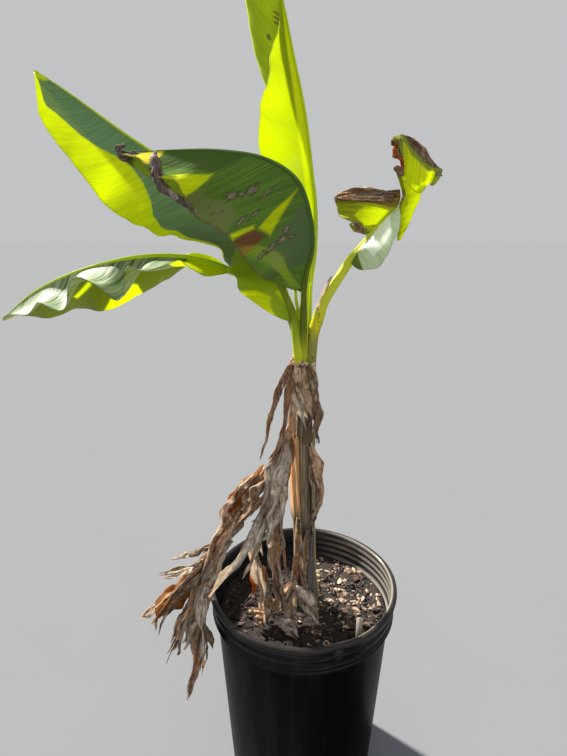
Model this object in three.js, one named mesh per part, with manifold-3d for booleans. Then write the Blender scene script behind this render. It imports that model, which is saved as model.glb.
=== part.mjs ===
// A young banana plant in a round black nursery pot.
// Millimetres, +Z up. The origin is the middle of the pot's flat underside, and the plant faces -Y.

import * as THREE from "three";
import { mergeVertices } from "three/addons/utils/BufferGeometryUtils.js";
import Module from "manifold-3d";

const wasm = await Module();
wasm.setup();

// Pot
const POT_HEIGHT = 520;
const RIM_RADIUS = 216;
const BASE_RADIUS = 172;
const WALL = 3.5;
const FLOOR = 5;
const RIM_BEAD = 7;
const BAND_DEPTH = 66;
const BAND_STEP = 4;
const RIB_HEIGHT = 5;
const RIB_PROUD = 2;
const RIB_DROPS = [32, 52, 62];
const POT_SIDES = 48;

// Potting mix
const MIX_DEPTH_BELOW_RIM = 72;
const MIX_TOP = POT_HEIGHT - MIX_DEPTH_BELOW_RIM;
const MIX_SWELL = 3;

// Clearance between neighbours
const GAP = 0.3;
const CUT = 0.4;

// Pseudostem, with heights above the potting mix
const STEM_HEIGHT = 600;
const STEM_ROUTE = [[8, 8, -6], [4, 10, 150], [-2, 12, 330], [-4, 12, 480], [-3, 10, STEM_HEIGHT]];
const STEM_FOOT_RADIUS = 30;
const STEM_LOW_RADIUS = 24;
const STEM_TOP_RADIUS = 18;
const STEM_FLARE = 45;

// Leaves
const BLADE_THICK = 7;
const RIB_THICK = 15;
const RIB_ZONE = 0.12;
const BLADE_STEPS = 17;
const BLADE_LANES = 4;
const PETIOLE_SIDES = 8;

const GREEN = 0x6f9a22;
const DARK_GREEN = 0x4c7a24;
const YELLOW_GREEN = 0xa3b52a;
const DRY_PALE = 0xb0a08c;
const DRY_BROWN = 0x7c5a3c;

const plant = new THREE.Group();
plant.position.z = MIX_TOP;
const group = new THREE.Group();
group.add(plant);

const vec = (p) => new THREE.Vector3(...p);
const lerp = THREE.MathUtils.lerp;
const routeOf = (points) => new THREE.CatmullRomCurve3(points.map(vec), false, "centripetal");

// A smooth reading of a short list of numbers or directions, spaced evenly from 0 to 1.
function along(list, t) {
  const place = THREE.MathUtils.clamp(t, 0, 1) * (list.length - 1);
  const low = Math.min(Math.floor(place), list.length - 2);
  const part = THREE.MathUtils.smoothstep(place - low, 0, 1);
  if (typeof list[0] === "number") return lerp(list[low], list[low + 1], part);
  return vec(list[low]).lerp(vec(list[low + 1]), part).normalize();
}

// Solids and meshes

function solidOf(geometry) {
  const bare = new THREE.BufferGeometry();
  bare.setAttribute("position", geometry.getAttribute("position"));
  if (geometry.index) bare.setIndex(geometry.index);
  const merged = mergeVertices(bare, 1e-3);
  const mesh = new wasm.Mesh({
    numProp: 3,
    vertProperties: new Float32Array(merged.attributes.position.array),
    triVerts: new Uint32Array(merged.index.array),
  });
  return new wasm.Manifold(mesh);
}

function geometryOf(solid) {
  const mesh = solid.getMesh();
  const places = new Float32Array(mesh.numVert * 3);
  for (let i = 0; i < mesh.numVert; i++)
    places.set(mesh.vertProperties.subarray(i * mesh.numProp, i * mesh.numProp + 3), i * 3);
  const geometry = new THREE.BufferGeometry();
  geometry.setAttribute("position", new THREE.BufferAttribute(places, 3));
  geometry.setIndex(new THREE.BufferAttribute(mesh.triVerts, 1));
  geometry.computeVertexNormals();
  return geometry;
}

const fuse = (solids) => solids.reduce((whole, next) => whole.add(next));

// What is left of a solid after its neighbours are cut away, without the loose scraps.
function clearOf(solid, neighbours) {
  let rest = solid;
  for (const neighbour of neighbours) rest = rest.subtract(neighbour);
  return rest.decompose().sort((a, b) => b.volume() - a.volume())[0];
}

function addNode(parent, name, geometry, color, roughness) {
  const material = new THREE.MeshStandardMaterial({ color, roughness, metalness: 0 });
  const mesh = new THREE.Mesh(geometry, material);
  mesh.name = name;
  parent.add(mesh);
}

// A closed body through a row of rings, each with the same number of points.
function bodyOfRings(rings) {
  const count = rings[0].length;
  const places = rings.flat();
  const faces = [];
  for (let i = 0; i + 1 < rings.length; i++)
    for (let j = 0; j < count; j++) {
      const a = i * count + j;
      const b = i * count + ((j + 1) % count);
      faces.push(a, b, b + count, a, b + count, a + count);
    }
  const lastRing = (rings.length - 1) * count;
  for (let j = 1; j + 1 < count; j++) {
    faces.push(0, j + 1, j);
    faces.push(lastRing, lastRing + j, lastRing + j + 1);
  }
  const geometry = new THREE.BufferGeometry().setFromPoints(places);
  geometry.setIndex(faces);
  const solid = solidOf(geometry);
  if (solid.volume() > 0) return solid;
  for (let i = 0; i < faces.length; i += 3) [faces[i + 1], faces[i + 2]] = [faces[i + 2], faces[i + 1]];
  geometry.setIndex(faces);
  return solidOf(geometry);
}

// A tube along a route. outline(t) gives the section's points as [across, up] pairs.
function sweep(route, steps, outline, upward) {
  const rings = [];
  for (let i = 0; i <= steps; i++) {
    const t = i / steps;
    const centre = route.getPointAt(t);
    const ahead = route.getTangentAt(t);
    const across = new THREE.Vector3().crossVectors(ahead, upward).normalize();
    const up = new THREE.Vector3().crossVectors(across, ahead);
    rings.push(
      outline(t).map(([x, y]) => centre.clone().addScaledVector(across, x).addScaledVector(up, y)),
    );
  }
  return bodyOfRings(rings);
}

function roundOutline(radius, sides) {
  return Array.from({ length: sides }, (_, i) => {
    const angle = (i / sides) * 2 * Math.PI;
    return [radius * Math.cos(angle), radius * Math.sin(angle)];
  });
}

// Pot: a thin wall with a rolled rim and a ribbed band under it

const potRadiusAt = (z) => lerp(BASE_RADIUS, RIM_RADIUS - RIM_BEAD - BAND_STEP, z / POT_HEIGHT);

function potProfile(spread) {
  const points = [[0, -spread], [BASE_RADIUS + spread, -spread]];
  const bandFoot = POT_HEIGHT - BAND_DEPTH;
  points.push([potRadiusAt(bandFoot) + spread, bandFoot]);
  const bandRadius = RIM_RADIUS - RIM_BEAD + spread;
  points.push([bandRadius, bandFoot + BAND_STEP]);
  for (const drop of [...RIB_DROPS].reverse()) {
    const middle = POT_HEIGHT - drop;
    points.push([bandRadius, middle - RIB_HEIGHT / 2]);
    points.push([bandRadius + RIB_PROUD, middle]);
    points.push([bandRadius, middle + RIB_HEIGHT / 2]);
  }
  for (let i = 0; i <= 5; i++) {
    const angle = -Math.PI / 2 + (i / 5) * Math.PI * 1.25;
    points.push([
      RIM_RADIUS - RIM_BEAD + (RIM_BEAD + spread) * Math.cos(angle),
      POT_HEIGHT - RIM_BEAD + (RIM_BEAD + spread) * Math.sin(angle),
    ]);
  }
  points.push([potRadiusAt(bandFoot) - WALL - spread, bandFoot]);
  points.push([BASE_RADIUS - WALL - spread, FLOOR + spread]);
  points.push([0, FLOOR + spread]);
  return points.map(([r, z]) => new THREE.Vector2(r, z));
}

const potGeometry = new THREE.LatheGeometry(potProfile(0), POT_SIDES).rotateX(Math.PI / 2);
addNode(group, "pot", potGeometry, 0x1d1f26, 0.42);
const potKeepOut = solidOf(
  new THREE.LatheGeometry(potProfile(CUT), POT_SIDES).rotateX(Math.PI / 2),
).translate([0, 0, -MIX_TOP]);

// Potting mix: it fills the pot to a hand's breadth under the rim

function mixProfile(spread) {
  const wallRadius = potRadiusAt(MIX_TOP) - WALL - 1 - GAP;
  const points = [[0, FLOOR + GAP], [BASE_RADIUS - WALL - 2 * GAP, FLOOR + GAP]];
  points.push([wallRadius, MIX_TOP - MIX_SWELL]);
  for (let i = 7; i >= 0; i--) {
    const r = (wallRadius * i) / 8;
    const swell = i > 3 ? MIX_SWELL * Math.sin(i * 2.1) : 0;
    points.push([r, MIX_TOP + swell + spread]);
  }
  return points.map(([r, z]) => new THREE.Vector2(r, z));
}

addNode(
  group,
  "potting_mix",
  new THREE.LatheGeometry(mixProfile(0), POT_SIDES / 2).rotateX(Math.PI / 2),
  0x3a2a20,
  0.95,
);
const mixKeepOut = solidOf(
  new THREE.LatheGeometry(mixProfile(CUT), POT_SIDES / 2).rotateX(Math.PI / 2),
).translate([0, 0, -MIX_TOP]);

// Plant tag: a bare plastic strip pushed into the mix

const TAG = { width: 13, length: 84, thick: 1.6, at: [112, -142], lean: 0.02, sink: 0.5 };

function tagGeometry() {
  const outline = new THREE.Shape();
  const half = TAG.width / 2;
  outline.moveTo(-half, 0);
  outline.lineTo(half, 0);
  outline.lineTo(half, TAG.length - half);
  outline.absarc(0, TAG.length - half, half, 0, Math.PI, false);
  outline.closePath();
  const settings = { depth: TAG.thick, bevelEnabled: false, curveSegments: 8 };
  return new THREE.ExtrudeGeometry(outline, settings)
    .rotateX(Math.PI / 2)
    .rotateY(TAG.lean)
    .rotateZ(-0.25)
    .translate(TAG.at[0], TAG.at[1], TAG.width * TAG.lean + MIX_SWELL + TAG.sink);
}
addNode(plant, "plant_tag", tagGeometry(), 0xd9d4c6, 0.6);

// Pseudostem: leaf bases wrapped round each other, flared at the foot

const stemRoute = routeOf(STEM_ROUTE);
function stemRadius(t) {
  const height = t * STEM_HEIGHT;
  const flare = (STEM_FOOT_RADIUS - STEM_LOW_RADIUS) * Math.exp(-height / STEM_FLARE);
  const taper = lerp(STEM_LOW_RADIUS, STEM_TOP_RADIUS, Math.pow(t, 0.85));
  return taper + flare;
}
const stemSolid = (spread) =>
  sweep(stemRoute, 14, (t) => roundOutline(stemRadius(t) + spread, 16), new THREE.Vector3(0, 1, 0));

addNode(plant, "pseudostem", geometryOf(clearOf(stemSolid(0), [mixKeepOut])), 0x8a8048, 0.7);
const stemKeepOut = stemSolid(CUT).add(stemSolid(CUT).translate([0, 0, CUT]));

// Dry sheaths: old leaf bases that stand off the stem as curved plates

function sheath({ from, to, turn, twist = 0, span, thick, stand = 1.6 }, spread) {
  const steps = 8;
  const lanes = 5;
  const rings = [];
  for (let i = 0; i <= steps; i++) {
    const t = lerp(from - spread, to + spread, i / steps) / STEM_HEIGHT;
    const centre = stemRoute.getPointAt(t);
    const taperedSpan = span * (1 - 0.45 * (i / steps) ** 2) + (2 * spread) / STEM_TOP_RADIUS;
    const middle = turn + (twist * i) / steps;
    const inner = [];
    const outer = [];
    for (let j = 0; j <= lanes; j++) {
      const angle = middle + taperedSpan * (j / lanes - 0.5);
      const lift = 1.2 * Math.sin(i * 1.3 + j);
      const inside = stemRadius(t) + stand - spread;
      const outside = stemRadius(t) + stand + 1.2 + thick + lift + spread;
      inner.push(new THREE.Vector3(Math.cos(angle) * inside, Math.sin(angle) * inside, 0).add(centre));
      outer.unshift(new THREE.Vector3(Math.cos(angle) * outside, Math.sin(angle) * outside, 0).add(centre));
    }
    rings.push([...inner, ...outer]);
  }
  return bodyOfRings(rings);
}

const SHEATHS = {
  dry_sheath_left: { from: 5, to: 520, turn: Math.PI * 1.12, span: 1.7, thick: 3 },
  dry_sheath_right: { from: 5, to: 470, turn: -0.2, span: 1.5, thick: 3 },
  dry_sheath_front: { from: 5, to: 229, turn: -Math.PI * 0.47, span: 1.1, thick: 3 },
};
const placed = [];

for (const [name, sizes] of Object.entries(SHEATHS)) {
  const solid = clearOf(sheath(sizes, 0), [mixKeepOut, ...placed]);
  addNode(plant, name, geometryOf(solid), DRY_BROWN, 0.85);
  placed.push(sheath(sizes, CUT));
}

// Petioles: channelled stalks that leave the top of the pseudostem side by side

const PETIOLES = {
  front: { route: [[-2, -7, 590], [1, -13, 660], [-2, -13, 715], [1, -9, 751]], radius: [12, 12, 9] },
  upper_left: { route: [[-13, -4, 590], [-16, -10, 640], [-27, -9, 683]], radius: [12, 11, 8] },
  right: {
    route: [[9, 2, 590], [15, 0, 660], [31, -2, 735], [54, -6, 772], [78, -8, 796]],
    radius: [12, 12, 11, 10, 8],
  },
  lower_left: {
    route: [[-10, 15, 590], [-22, 22, 665], [-60, 34, 732], [-108, 38, 764], [-145, 34, 773]],
    radius: [12, 11, 9, 8, 7],
  },
  top: { route: [[1, 17, 590], [4, 21, 680], [12, 22, 760], [15, 20, 815]], radius: [12, 12, 10, 8] },
};

function petiole({ route, radius }, spread) {
  const channel = (t) =>
    roundOutline(1, PETIOLE_SIDES).map(([x, y]) => {
      const size = along(radius, t) + spread;
      const groove = y > 0.8 ? 0.45 : 1;
      return [x * size, y * size * groove];
    });
  const inward = new THREE.Vector3(0, 1, 0.2);
  return sweep(routeOf(route), 2 * route.length + 1, channel, inward);
}

// Blades: two thin halves hung from a rib

const LEAVES = {
  upper_left: {
    color: YELLOW_GREEN,
    rib: [[-26, -8, 685], [-62, -4, 758], [-120, 9, 845], [-231, 26, 953], [-345, 33, 1030],
      [-437, 28, 1095], [-490, 20, 1129]],
    near: {
      reach: 134, skew: 1.05, blunt: 0.5, bulge: 0.1, wave: 5, waves: 5,
      hang: [[-0.85, -0.3, -0.42], [-0.42, -0.88, -0.19], [-0.08, -0.93, -0.36], [-0.38, -0.57, -0.72],
        [-0.43, -0.46, -0.77], [-0.3, -0.6, -0.74], [-0.4, -0.5, -0.77]],
    },
    far: {
      reach: 112, skew: 1.4, blunt: 0.6, bulge: 0.12, wave: 4, waves: 4,
      hang: [[0.3, 0.9, 0.3], [-0.2, 0.88, -0.1], [-0.3, 0.85, -0.35], [-0.3, 0.85, -0.3], [-0.3, 0.85, -0.3]],
    },
  },
  front: {
    color: DARK_GREEN,
    rib: [[-1, -6, 753], [13, -18, 810], [5, -36, 877], [-22, -57, 940], [-75, -78, 972], [-150, -102, 982],
      [-235, -126, 979], [-300, -142, 973]],
    near: {
      reach: 162, skew: 0.88, blunt: 0.8, bulge: 0.08, wave: 5, waves: 4,
      hang: [[-0.9, -0.3, -0.2], [-0.7, -0.4, -0.59], [-0.67, -0.46, -0.59], [-0.34, -0.83, -0.42],
        [0, -0.95, -0.3]],
    },
    far: {
      reach: 112, skew: 0.95, blunt: 0.8, bulge: 0.05, wave: 3, waves: 4,
      hang: [[-0.5, 0.5, -0.7], [-0.55, 0.25, -0.8], [-0.5, 0.3, -0.8], [-0.3, 0.45, -0.84], [0, 0.3, -0.95]],
    },
  },
  top: {
    color: YELLOW_GREEN,
    rib: [[15, 20, 817], [16, 30, 891], [7, 40, 973], [-5, 48, 1060], [-31, 52, 1176], [-58, 46, 1290],
      [-81, 34, 1376]],
    near: {
      reach: 98, skew: 0.75, blunt: 0.6, bulge: 0.1, wave: 3, waves: 3, end: 0.78,
      hang: [[-0.92, -0.2, -0.3], [-0.95, -0.1, 0.3], [-0.82, -0.5, 0.15], [-0.55, -0.8, -0.2],
        [-0.2, -0.7, -0.6]],
    },
    far: {
      reach: 90, skew: 1.5, blunt: 0.55, bulge: 0.12, wave: 3, waves: 4,
      hang: [[-0.2, 0.97, 0], [-0.55, 0.83, 0.05], [-0.8, 0.44, 0.4], [-0.81, 0.22, 0.54], [-0.6, 0.3, 0.7]],
    },
  },
  lower_left: {
    color: GREEN,
    rib: [[-148, 34, 774], [-193, 28, 792], [-242, 20, 803], [-330, 6, 804], [-436, -10, 780], [-520, -24, 742],
      [-586, -34, 690]],
    near: {
      reach: 108, skew: 0.9, blunt: 0.55, bulge: 0.12, wave: 9, waves: 5,
      hang: [[-0.5, -0.85, -0.1], [-0.12, -0.98, -0.12], [0.05, -0.95, -0.3], [0.22, -0.92, -0.28],
        [0.4, -0.9, -0.1]],
    },
    far: {
      reach: 94, skew: 0.95, blunt: 0.6, bulge: 0.1, wave: 8, waves: 4,
      hang: [[-0.6, 0.2, 0.7], [-0.35, 0.65, -0.6], [-0.05, 0.36, -0.93], [0, 0.55, -0.82], [-0.3, 0.7, -0.5]],
    },
  },
  right: {
    color: 0x8a9c58,
    rib: [[80, -8, 798], [103, -8, 826], [127, -4, 854], [150, 0, 879], [166, 5, 905], [168, 9, 944],
      [162, 14, 976]],
    near: {
      reach: 66, skew: 0.95, blunt: 0.55, bulge: 0.14, wave: 3, waves: 3,
      hang: [[0.25, -0.75, -0.6], [0.25, -0.75, -0.6], [0.15, -0.85, -0.45], [0.48, -0.8, -0.3],
        [0.5, -0.8, -0.3]],
    },
  },
  right_flap: {
    color: 0xa08a30,
    rib: [[122, 2, 856], [145, 6, 887], [164, 10, 922]],
    far: {
      reach: 98, skew: 1, blunt: 1, open: 0.08, close: 0.5, bulge: 0.16, wave: 3, waves: 1.5, steps: 8,
      hang: [[-0.93, 0.2, 0.25], [-0.97, 0.2, 0.05], [-0.97, 0.2, -0.1]],
    },
  },
  right_tip: {
    color: 0x8a6a30,
    rib: [[158, 20, 1010], [183, 12, 999], [214, 4, 977], [248, -2, 956]],
    near: {
      reach: 42, skew: 1.3, blunt: 0.6, bulge: 0.14, wave: 3, waves: 2, steps: 10,
      hang: [[-0.2, -0.4, -0.9], [0, -0.3, -0.95], [-0.1, -0.2, -0.97]],
    },
  },
};

// One half of a blade, as a slab that is thick at the rib and thin at the margin.
function halfBlade(rib, half, side, spread) {
  const { reach, skew, blunt, bulge, wave, waves, hang } = half;
  const { end = 1, open = 0, close = 1, steps = BLADE_STEPS } = half;
  const place = (s, u) => {
    const t = s * end;
    const grown = Math.pow(lerp(open, close, s), skew);
    const width = reach * Math.pow(Math.sin(Math.PI * grown), blunt) + 6 + spread;
    const ahead = rib.getTangentAt(t);
    const out = along(hang, s);
    const up = new THREE.Vector3().crossVectors(ahead, out).normalize().multiplyScalar(side);
    const lift = 4 * bulge * width * u * (1 - u) + wave * u * u * Math.sin(2 * Math.PI * waves * s);
    return rib.getPointAt(t).addScaledVector(out, width * u).addScaledVector(up, lift);
  };
  const step = 1e-3;
  const inset = spread > 0 ? step : 4 * step;
  const rings = [];
  for (let i = 0; i <= steps; i++) {
    const s = lerp(inset, 1 - inset, i / steps);
    const upper = [];
    const lower = [];
    for (let j = 0; j <= BLADE_LANES; j++) {
      const u = j === 0 ? -spread / reach : (j / BLADE_LANES) ** 1.2;
      const here = place(s, u);
      const alongBlade = place(s + step, u).sub(place(s - step, u));
      const acrossBlade = place(s, u + step).sub(place(s, u - step));
      const normal = alongBlade.cross(acrossBlade).normalize();
      const ribbed = (RIB_THICK * (1 - 0.5 * s) - BLADE_THICK) * Math.exp(-u / RIB_ZONE);
      const thick = (BLADE_THICK + ribbed) / 2 + spread;
      upper.push(here.clone().addScaledVector(normal, thick));
      lower.unshift(here.addScaledVector(normal, -thick));
    }
    rings.push([...upper, ...lower]);
  }
  return bodyOfRings(rings);
}

function blade({ rib, near, far }, spread) {
  const route = routeOf(rib);
  const halves = [];
  if (near) halves.push(halfBlade(route, near, -1, spread));
  if (far) halves.push(halfBlade(route, far, 1, spread));
  return fuse(halves);
}

for (const [name, sizes] of Object.entries(PETIOLES)) {
  const stalk = clearOf(petiole(sizes, 0), [stemKeepOut, ...placed]);
  addNode(plant, "petiole_" + name, geometryOf(stalk), YELLOW_GREEN, 0.5);
  placed.push(petiole(sizes, CUT));
}
for (const [name, leaf] of Object.entries(LEAVES)) {
  const whole = clearOf(blade(leaf, 0), [stemKeepOut, ...placed]);
  addNode(plant, "blade_" + name, geometryOf(whole), leaf.color, 0.5);
  placed.push(blade(leaf, CUT));
}

// Dead leaves: withered strands that hang from the top of the stem, out over the rim and into the pot

const DEAD_LEAVES = {
  dead_leaf_pale: {
    color: DRY_PALE,
    strands: [
      { route: [[-27, -10, 428], [-34, -28, 400], [-48, -48, 357], [-69, -62, 301], [-99, -76, 239], [-137, -88, 184],
        [-175, -100, 143], [-216, -112, 100]], wide: 46, turns: 0.7 },
      { route: [[-57, -52, 320], [-57, -56, 249], [-63, -60, 185], [-59, -58, 106], [-50, -50, 14]],
        wide: 40, turns: 0.5 },
      { route: [[-90, -70, 262], [-106, -62, 215], [-105, -60, 150], [-92, -52, 75], [-98, -56, 12]],
        wide: 28, turns: 0.6 },
    ],
  },
  dead_leaf_over_rim: {
    color: DRY_PALE,
    strands: [
      { route: [[-24, -4, 486], [-30, -18, 460], [-44, -26, 415], [-69, -36, 370], [-103, -42, 317], [-142, -50, 259],
        [-192, -60, 181], [-248, -72, 118], [-293, -78, 66], [-322, -80, 22], [-335, -82, -32]],
        wide: 44, turns: 1.4 },
      { route: [[-128, -46, 290], [-163, -54, 236], [-201, -66, 168], [-230, -80, 100], [-259, -86, 33],
        [-306, -86, -84]], wide: 38, turns: 0.8 },
      { route: [[-172, -60, 208], [-198, -74, 143], [-226, -88, 74], [-246, -92, 11], [-273, -92, -45]],
        wide: 42, turns: 0.5 },
      { route: [[-230, -84, 66], [-234, -90, -17], [-243, -90, -103], [-272, -86, -210]], wide: 24, turns: 0.6 },
      { route: [[-156, -54, 210], [-200, -58, 168], [-259, -56, 132], [-327, -52, 114]], wide: 24, turns: 0.6 },
      { route: [[-215, -62, 142], [-273, -64, 88], [-313, -64, 57], [-366, -62, 4]], wide: 30, turns: 0.5 },
      { route: [[-160, -54, 213], [-225, -58, 187], [-287, -58, 165]], wide: 12, turns: 0.3 },
    ],
  },
  dead_leaf_curls: {
    color: DRY_BROWN,
    strands: [
      { route: [[-90, -34, 353], [-118, -38, 344], [-140, -42, 324], [-158, -46, 292], [-172, -50, 260],
        [-178, -52, 225]], wide: 26, turns: 0.8 },
      { route: [[-136, -40, 335], [-146, -34, 290], [-160, -32, 240]], wide: 30, turns: 0.4 },
    ],
  },
  dead_leaf_brown: {
    color: DRY_BROWN,
    strands: [
      { route: [[-27, 0, 430], [-36, -20, 385], [-56, -34, 326], [-88, -34, 271], [-125, -36, 222]],
        wide: 40, turns: 0.5 },
    ],
  },
  dead_leaf_thin: {
    color: DRY_BROWN,
    strands: [
      { route: [[-20, -6, 580], [-32, -16, 586], [-52, -24, 547], [-67, -26, 489], [-83, -30, 431],
        [-92, -34, 380]], wide: 12, turns: 0.4 },
      { route: [[-20, -6, 578], [-30, -18, 568], [-36, -24, 517], [-44, -28, 468], [-56, -32, 420], [-76, -36, 378]],
        wide: 14, turns: 0.6 },
    ],
  },
  dead_leaf_foot: {
    color: DRY_PALE,
    strands: [
      { route: [[-9, -20, 242], [-13, -30, 170], [-21, -44, 91], [-44, -54, 41], [-70, -80, 8]],
        wide: 28, turns: 0.6 },
      { route: [[7, -21, 217], [4, -30, 130], [2, -42, 62], [14, -58, 30], [29, -78, 8]], wide: 30, turns: 0.4 },
      { route: [[-17, -40, 90], [-32, -62, 40], [-22, -108, 8]], wide: 26, turns: 0.4 },
    ],
  },
  dead_leaf_right: {
    color: DRY_BROWN,
    strands: [
      { route: [[17, -10, 412], [32, -18, 360], [41, -22, 303], [28, -26, 240]], wide: 32, turns: 0.3 },
    ],
  },
  dead_strip_right: {
    color: DRY_BROWN,
    strands: [
      { route: [[12, -10, 566], [20, -18, 526], [27, -18, 488], [25, -18, 450], [31, -18, 427], [22, -16, 408]],
        wide: 10, turns: 0.3 },
    ],
  },
};
const DEAD_THICK = 6;
const DEAD_STEP = 42;

// A withered strip: a flat section that turns and narrows along its route.
function strand({ route, wide, turns }, spread) {
  const section = (t) => {
    const ends = Math.min(1, 0.35 + 4 * t, 0.25 + 5 * (1 - t));
    const half = (wide / 2) * ends * (1 + 0.22 * Math.sin(9 * t + wide)) + spread;
    const thin = DEAD_THICK / 2 + spread;
    const fold = 0.22 * half;
    const turn = 0.6 + turns * Math.PI * t;
    const flat = [[-half, fold - thin * 0.5], [0, -fold - thin], [half, fold - thin * 0.5],
      [half, fold + thin * 0.5], [0, -fold + thin], [-half, fold + thin * 0.5]];
    return flat.map(([x, y]) => [
      x * Math.cos(turn) - y * Math.sin(turn),
      x * Math.sin(turn) + y * Math.cos(turn),
    ]);
  };
  const line = routeOf(route);
  const steps = Math.max(5, Math.round(line.getLength() / DEAD_STEP));
  return sweep(line, steps, section, new THREE.Vector3(0, 1, 0.3));
}

const deadNeighbours = [potKeepOut, mixKeepOut, stemKeepOut];
for (const [name, leaf] of Object.entries(DEAD_LEAVES)) {
  const whole = fuse(leaf.strands.map((sizes) => strand(sizes, 0)));
  const solid = clearOf(whole, [...deadNeighbours, ...placed]);
  addNode(plant, name, geometryOf(solid), leaf.color, 0.9);
  placed.push(fuse(leaf.strands.map((sizes) => strand(sizes, CUT))));
}

// Dry collar: two withered bands that cross as they wind round the top of the stem

const COLLAR_BANDS = [
  { from: 545, to: 588, turn: Math.PI * 1.3, twist: -0.5, span: 2.6, thick: 4, stand: 1.6 },
  { from: 470, to: 585, turn: 0.1, twist: -1.9, span: 1.2, thick: 4, stand: 3 },
];
const collar = fuse(COLLAR_BANDS.map((sizes) => sheath(sizes, 0)));
addNode(plant, "dry_collar", geometryOf(clearOf(collar, [stemKeepOut, ...placed])), DRY_BROWN, 0.85);

export default group;
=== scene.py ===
# %% [markdown]
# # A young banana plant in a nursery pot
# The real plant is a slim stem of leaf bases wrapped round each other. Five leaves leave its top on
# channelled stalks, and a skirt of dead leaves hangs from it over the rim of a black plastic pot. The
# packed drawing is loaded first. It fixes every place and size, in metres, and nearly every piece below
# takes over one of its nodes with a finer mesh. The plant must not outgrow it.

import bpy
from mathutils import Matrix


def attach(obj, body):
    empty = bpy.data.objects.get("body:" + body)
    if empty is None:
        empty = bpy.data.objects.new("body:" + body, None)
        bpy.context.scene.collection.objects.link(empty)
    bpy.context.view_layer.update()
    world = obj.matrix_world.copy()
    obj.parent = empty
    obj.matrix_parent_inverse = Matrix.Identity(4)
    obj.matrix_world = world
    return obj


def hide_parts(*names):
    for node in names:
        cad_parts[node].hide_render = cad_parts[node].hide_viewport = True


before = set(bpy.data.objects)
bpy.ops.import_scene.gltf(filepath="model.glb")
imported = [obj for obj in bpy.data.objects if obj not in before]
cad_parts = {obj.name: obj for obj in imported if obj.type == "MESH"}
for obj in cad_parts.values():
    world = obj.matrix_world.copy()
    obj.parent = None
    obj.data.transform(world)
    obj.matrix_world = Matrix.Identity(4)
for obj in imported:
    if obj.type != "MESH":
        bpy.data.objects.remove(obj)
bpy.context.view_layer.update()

# %% Modules and the two levels that everything is measured from
import functools
import math
import random

import bmesh
import bpy
from mathutils import Matrix, Vector, noise

noise.seed_set(11)  # without a seed, noise_vector takes its offsets from the clock

MM = 0.001
MIX_TOP = 448 * MM
print("potting mix lies at", MIX_TOP, "m above the ground")

# %% [markdown]
# ## Camera, light and floor
# The photograph was taken from just above the plant's middle, tilted down, with a short lens. Those
# three numbers could be guessed, but the ellipse of the pot's rim gives them: how flat it looks sets
# the tilt, and how wide it is sets the distance. They come first, so that every later piece can be
# judged against the photograph.

# %% Camera at the photograph's place


def in_scene(name, data):
    """A new object that holds this mesh, lamp or camera."""
    thing = bpy.data.objects.new(name, data)
    bpy.context.scene.collection.objects.link(thing)
    return thing


TILT_DOWN = 16.9
eye = bpy.data.cameras.new("photo_camera")
eye.lens, eye.sensor_width = 25, 36
camera = in_scene("photo_camera", eye)
camera.location = (-0.045, -1.035, 1.323)
camera.rotation_euler = (math.radians(90 - TILT_DOWN), 0, 0)
bpy.context.scene.camera = camera
print("camera", camera.location[:], "looks down", TILT_DOWN, "degrees")

# %% [markdown]
# Banana leaves are thin enough to glow when the light comes from behind. A front light alone would make
# them flat and dull, so the key light comes from behind the plant, from its left and high up. Its disc
# is wider than the sun's, which softens the shadows, and the pale surround and a dim, very broad light
# in front open them. A plain view transform keeps the leaves' strong yellow greens, which a film-like
# one would wash out.

# %% Key light from behind, fill from the front, and a pale surround


def broad_light(name, azimuth, elevation, strength, spread, tint):
    """A distant light. Azimuth 0 comes from behind the plant, -90 from its left. Angles are in degrees."""
    data = bpy.data.lights.new(name, "SUN")
    data.energy, data.angle, data.color = strength, math.radians(spread), tint
    turn, rise = math.radians(azimuth), math.radians(elevation)
    source = Vector((math.sin(turn) * math.cos(rise), math.cos(turn) * math.cos(rise), math.sin(rise)))
    in_scene(name, data).rotation_euler = (-source).to_track_quat("-Z", "Y").to_euler()


broad_light("key_behind", azimuth=-50, elevation=40, strength=12.0, spread=3, tint=(1, 0.95, 0.86))
broad_light("fill_front", azimuth=155, elevation=35, strength=0.5, spread=60, tint=(0.90, 0.95, 1))
surround = bpy.data.worlds.new("pale_surround")
surround.use_nodes = True
background = surround.node_tree.nodes["Background"].inputs
background["Color"].default_value = (0.90, 0.91, 0.93, 1)
background["Strength"].default_value = 0.60
bpy.context.scene.world = surround
bpy.context.scene.view_settings.view_transform = "Standard"

# %% [markdown]
# ## Sums written as Python
# A material is a tree of nodes. It could be wired by hand, but a pattern is really a sum, so a small
# class wraps a socket and lets Python's own operators add the Math nodes. Every other node comes from
# one method, which sets the node's settings first and then fills or links its sockets.

# %% A socket that can be added, subtracted, multiplied and divided


class Value:
    """A socket of a material that works in sums, on either side of the operator."""

    def __init__(self, finish, socket):
        self.finish, self.socket = finish, socket

    def math(self, operation, *others):
        return self.finish.reckon(operation, self, *others)

    def __abs__(self):
        return self.math("ABSOLUTE")


for sign, operation in (("add", "ADD"), ("sub", "SUBTRACT"), ("mul", "MULTIPLY"), ("truediv", "DIVIDE")):
    setattr(Value, f"__{sign}__", lambda self, other, word=operation: self.finish.reckon(word, self, other))
    setattr(Value, f"__r{sign}__", lambda self, other, word=operation: self.finish.reckon(word, other, self))

# %% A material, and one method that adds any node to it


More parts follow.
